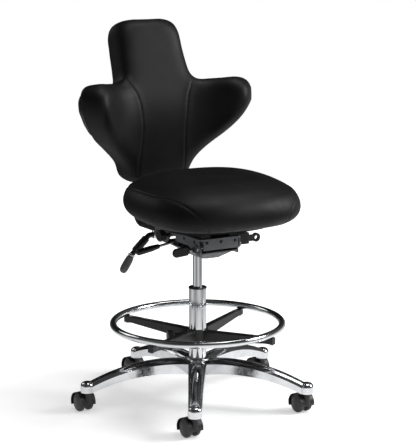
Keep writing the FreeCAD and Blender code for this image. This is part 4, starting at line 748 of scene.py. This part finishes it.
def lever_paddle():
    """The back lever's moulded grip: a flat paddle with a round end."""
    rings = []
    for far, half_width, half_thick in PADDLE:
        rings.append([
            Vector((spot.x * half_thick, spot.y * half_width, far)) for spot in round_ring(1, 0)
        ])
    shape = bmesh.new()
    skin(shape, rings, set_up(LEVER_ELBOW, LEVER_GRIP_RUN) @ Matrix.Scale(MM, 4))
    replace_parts(finish_piece("back_lever_paddle", shape, "grey_plastic", "back_lever"), "back_lever_grip")


# Button rivets of the seat frame in millimetres: radius at heights above the plate, then where
# the side ones and the front ones are driven in from
RIVET = [(4.6, -0.3), (4.6, 0.5), (3.9, 1.5), (2.4, 2.2), (0.8, 2.4)]
SIDE_RIVETS = [(-140, -100, 503), (-140, -42, 503), (-140, 42, 503)]
FRONT_RIVETS = [(-46, -200, 503), (0, -200, 503), (46, -200, 503)]


def frame_rivets():
    """The rivets that hold the slider rails and the front apron to the seat frame."""
    surface = BVHTree.FromObject(nodes["seat_frame"], bpy.context.evaluated_depsgraph_get())
    rings = [round_ring(radius, height) for radius, height in RIVET]
    driven = [(start, (1, 0, 0)) for start in SIDE_RIVETS]
    driven += [(start, (0, 1, 0)) for start in FRONT_RIVETS]
    shape = bmesh.new()
    for start, ahead in driven:
        spot, normal = surface.ray_cast(Vector(start) * MM, Vector(ahead))[:2]
        skin(shape, rings, set_up(spot / MM, normal) @ Matrix.Scale(MM, 4))
    finish_piece("frame_rivets", shape, "black_paint", "seat_frame")


# Studio: pale floor, white surround, soft lamps
def seen_rays(tree):
    """Tells rays that come straight from the camera or through glass, and rays off shiny surfaces."""
    path = add_node(tree, "ShaderNodeLightPath")
    shown = add_node(tree, "ShaderNodeMath", {
        0: path.outputs["Is Camera Ray"], 1: path.outputs["Is Transmission Ray"],
    }, operation="MAXIMUM")
    return shown.outputs["Value"], path.outputs["Is Glossy Ray"]


# What shiny surfaces meet all round, as degrees from the camera's own direction and brightness
PANELS = (
    (-180, 0.10), (-125, 0.06), (-95, 0.45), (-78, 0.75), (-30, 0.25), (20, 0.70), (65, 0.22),
    (132, 0.65), (180, 0.10),
)
# The panels dim between these heights above the horizon, down to a share, and all else gets an even fill
WHITE = 1.0
DOME_EDGE = 0.0
DOME_TOP = 0.14
DOME_DIM = 0.12
FILL_LIGHT = 0.19


def panels(tree, spot):
    """Pale and dark panels by direction from the chair's middle, as a grey level."""
    split = add_node(tree, "ShaderNodeSeparateXYZ", {"Vector": spot})
    angle = add_node(tree, "ShaderNodeMath", {
        0: split.outputs["Y"], 1: split.outputs["X"],
    }, operation="ARCTAN2").outputs["Value"]
    facing = math.atan2(CAMERA_SPOT.y, CAMERA_SPOT.x)
    share = add_node(tree, "ShaderNodeMath", {
        0: angle, 1: 1 / (2 * math.pi), 2: 0.5 - facing / (2 * math.pi),
    }, operation="MULTIPLY_ADD").outputs["Value"]
    round_share = add_node(tree, "ShaderNodeMath", {0: share}, operation="FRACT").outputs["Value"]
    ramp = add_node(tree, "ShaderNodeValToRGB", {"Fac": round_share})
    stops = ramp.color_ramp.elements
    while len(stops) < len(PANELS):
        stops.new(0.5)
    for stop, (azimuth, level) in zip(stops, PANELS):
        stop.position = azimuth / 360 + 0.5
        stop.color = (level, level, level, 1)
    ramp.color_ramp.interpolation = "EASE"
    return ramp.outputs["Color"]


def add_surround():
    """White to the camera, panels under a dim dome to metal, and a soft fill to all else."""
    world = bpy.data.worlds.new("studio")
    scene.world = world
    world.use_nodes = True
    tree = world.node_tree
    tree.nodes.clear()
    camera_ray, glossy_ray = seen_rays(tree)
    spot = add_node(tree, "ShaderNodeTexCoord").outputs["Generated"]
    height = add_node(tree, "ShaderNodeSeparateXYZ", {"Vector": spot}).outputs["Z"]
    dome = add_node(tree, "ShaderNodeMapRange", {
        "Value": height, "From Min": DOME_EDGE, "From Max": DOME_TOP, "To Min": WHITE, "To Max": DOME_DIM,
    }).outputs["Result"]
    sides = add_node(tree, "ShaderNodeMath", {0: dome, 1: panels(tree, spot)}, operation="MULTIPLY")
    fill = add_node(tree, "ShaderNodeMix", {
        0: glossy_ray, 2: FILL_LIGHT, 3: sides.outputs["Value"],
    }).outputs[0]
    level = add_node(tree, "ShaderNodeMix", {0: camera_ray, 2: fill, 3: WHITE}).outputs[0]
    light = add_node(tree, "ShaderNodeBackground", {"Color": (1, 1, 1, 1), "Strength": level})
    add_node(tree, "ShaderNodeOutputWorld", {"Surface": light.outputs["Background"]})


FLOOR_RADIUS = 4.0
FLOOR_POINTS = 96
FLOOR_PAINT = "#f2f2f2"
# How far out the floor's glow begins and ends to change, and its level near the chair, to the camera
# and to metal
GLOW_NEAR = 0.5
GLOW_FAR = 1.6
FLOOR_GLOW = 0.45
METAL_GLOW = 0.35


def add_floor():
    """A pale disc that takes the shadow; the glow that whitens it shows only to camera and metal."""
    mesh = bpy.data.meshes.new("floor")
    shape = bmesh.new()
    bmesh.ops.create_circle(shape, cap_ends=True, segments=FLOOR_POINTS, radius=FLOOR_RADIUS)
    shape.to_mesh(mesh)
    shape.free()
    floor = bpy.data.objects.new("floor", mesh)
    scene.collection.objects.link(floor)
    pale = bpy.data.materials.new("pale_floor")
    pale.use_nodes = True
    tree = pale.node_tree
    tree.nodes.clear()
    camera_ray, glossy_ray = seen_rays(tree)
    spot = add_node(tree, "ShaderNodeTexCoord").outputs["Object"]
    away = add_node(tree, "ShaderNodeVectorMath", {0: spot}, operation="LENGTH").outputs["Value"]
    far = add_node(tree, "ShaderNodeMapRange", {
        "Value": away, "From Min": GLOW_NEAR, "From Max": GLOW_FAR,
    }).outputs["Result"]
    seen = add_node(tree, "ShaderNodeMix", {0: far, 2: FLOOR_GLOW, 3: WHITE}).outputs[0]
    mirrored_glow = add_node(tree, "ShaderNodeMix", {0: far, 2: METAL_GLOW, 3: 0.0}).outputs[0]
    direct = add_node(tree, "ShaderNodeMath", {
        0: camera_ray, 1: seen,
    }, operation="MULTIPLY").outputs["Value"]
    glow = add_node(tree, "ShaderNodeMath", {
        0: glossy_ray, 1: mirrored_glow, 2: direct,
    }, operation="MULTIPLY_ADD").outputs["Value"]
    light = add_node(tree, "ShaderNodeEmission", {"Strength": glow})
    side_glow = add_node(tree, "ShaderNodeEmission", {"Strength": panels(tree, spot)})
    matt = add_node(tree, "ShaderNodeBsdfDiffuse", {"Color": linear(FLOOR_PAINT)})
    lit = add_node(tree, "ShaderNodeAddShader", {0: light.outputs["Emission"], 1: matt.outputs["BSDF"]})
    beyond = add_node(tree, "ShaderNodeMath", {
        0: glossy_ray, 1: far,
    }, operation="MULTIPLY").outputs["Value"]
    both = add_node(tree, "ShaderNodeMixShader", {
        "Fac": beyond, 1: lit.outputs["Shader"], 2: side_glow.outputs["Emission"],
    })
    add_node(tree, "ShaderNodeOutputMaterial", {"Surface": both.outputs["Shader"]})
    mesh.materials.append(pale)


# Soft lamps: name, place and width in metres, power in watts; all face the chair's middle
LAMPS = (
    ("key", (2.7, -1.7, 2.1), 1.3, 98),
    ("top", (0.5, -0.4, 3.0), 1.6, 30),
    ("rear", (-1.5, 2.4, 2.2), 1.4, 9),
)
LAMP_AIM = Vector((0, 0, 0.6))


def add_lights():
    """Square soft lamps: a strong one at the right, weaker ones above and behind."""
    for name, spot, size, power in LAMPS:
        lamp = bpy.data.lights.new(name, "AREA")
        lamp.size = size
        lamp.energy = power
        holder = bpy.data.objects.new(name, lamp)
        holder.location = spot
        holder.rotation_mode = "QUATERNION"
        holder.rotation_quaternion = (LAMP_AIM - Vector(spot)).to_track_quat("-Z", "Y")
        scene.collection.objects.link(holder)


# The whole scene
add_camera()
scene.view_settings.view_transform = "Standard"
add_surround()
add_floor()
add_lights()
dress_frame()
upholster(seat_cushion, "seat_cushion", "seat")
upholster(back_cushion, "back_cushion", "backrest")
socket_screws("back_screws", "back_bolts", BACK_SCREWS_FACE, BACK_SHANK, "backrest")
socket_screws("seat_screws", "seat_bolts", SEAT_SCREWS_FACE, SEAT_SHANK, "seat")
dress(nodes["back_lever_arm"], "black_paint")
lever_sleeve()
lever_paddle()
frame_rivets()
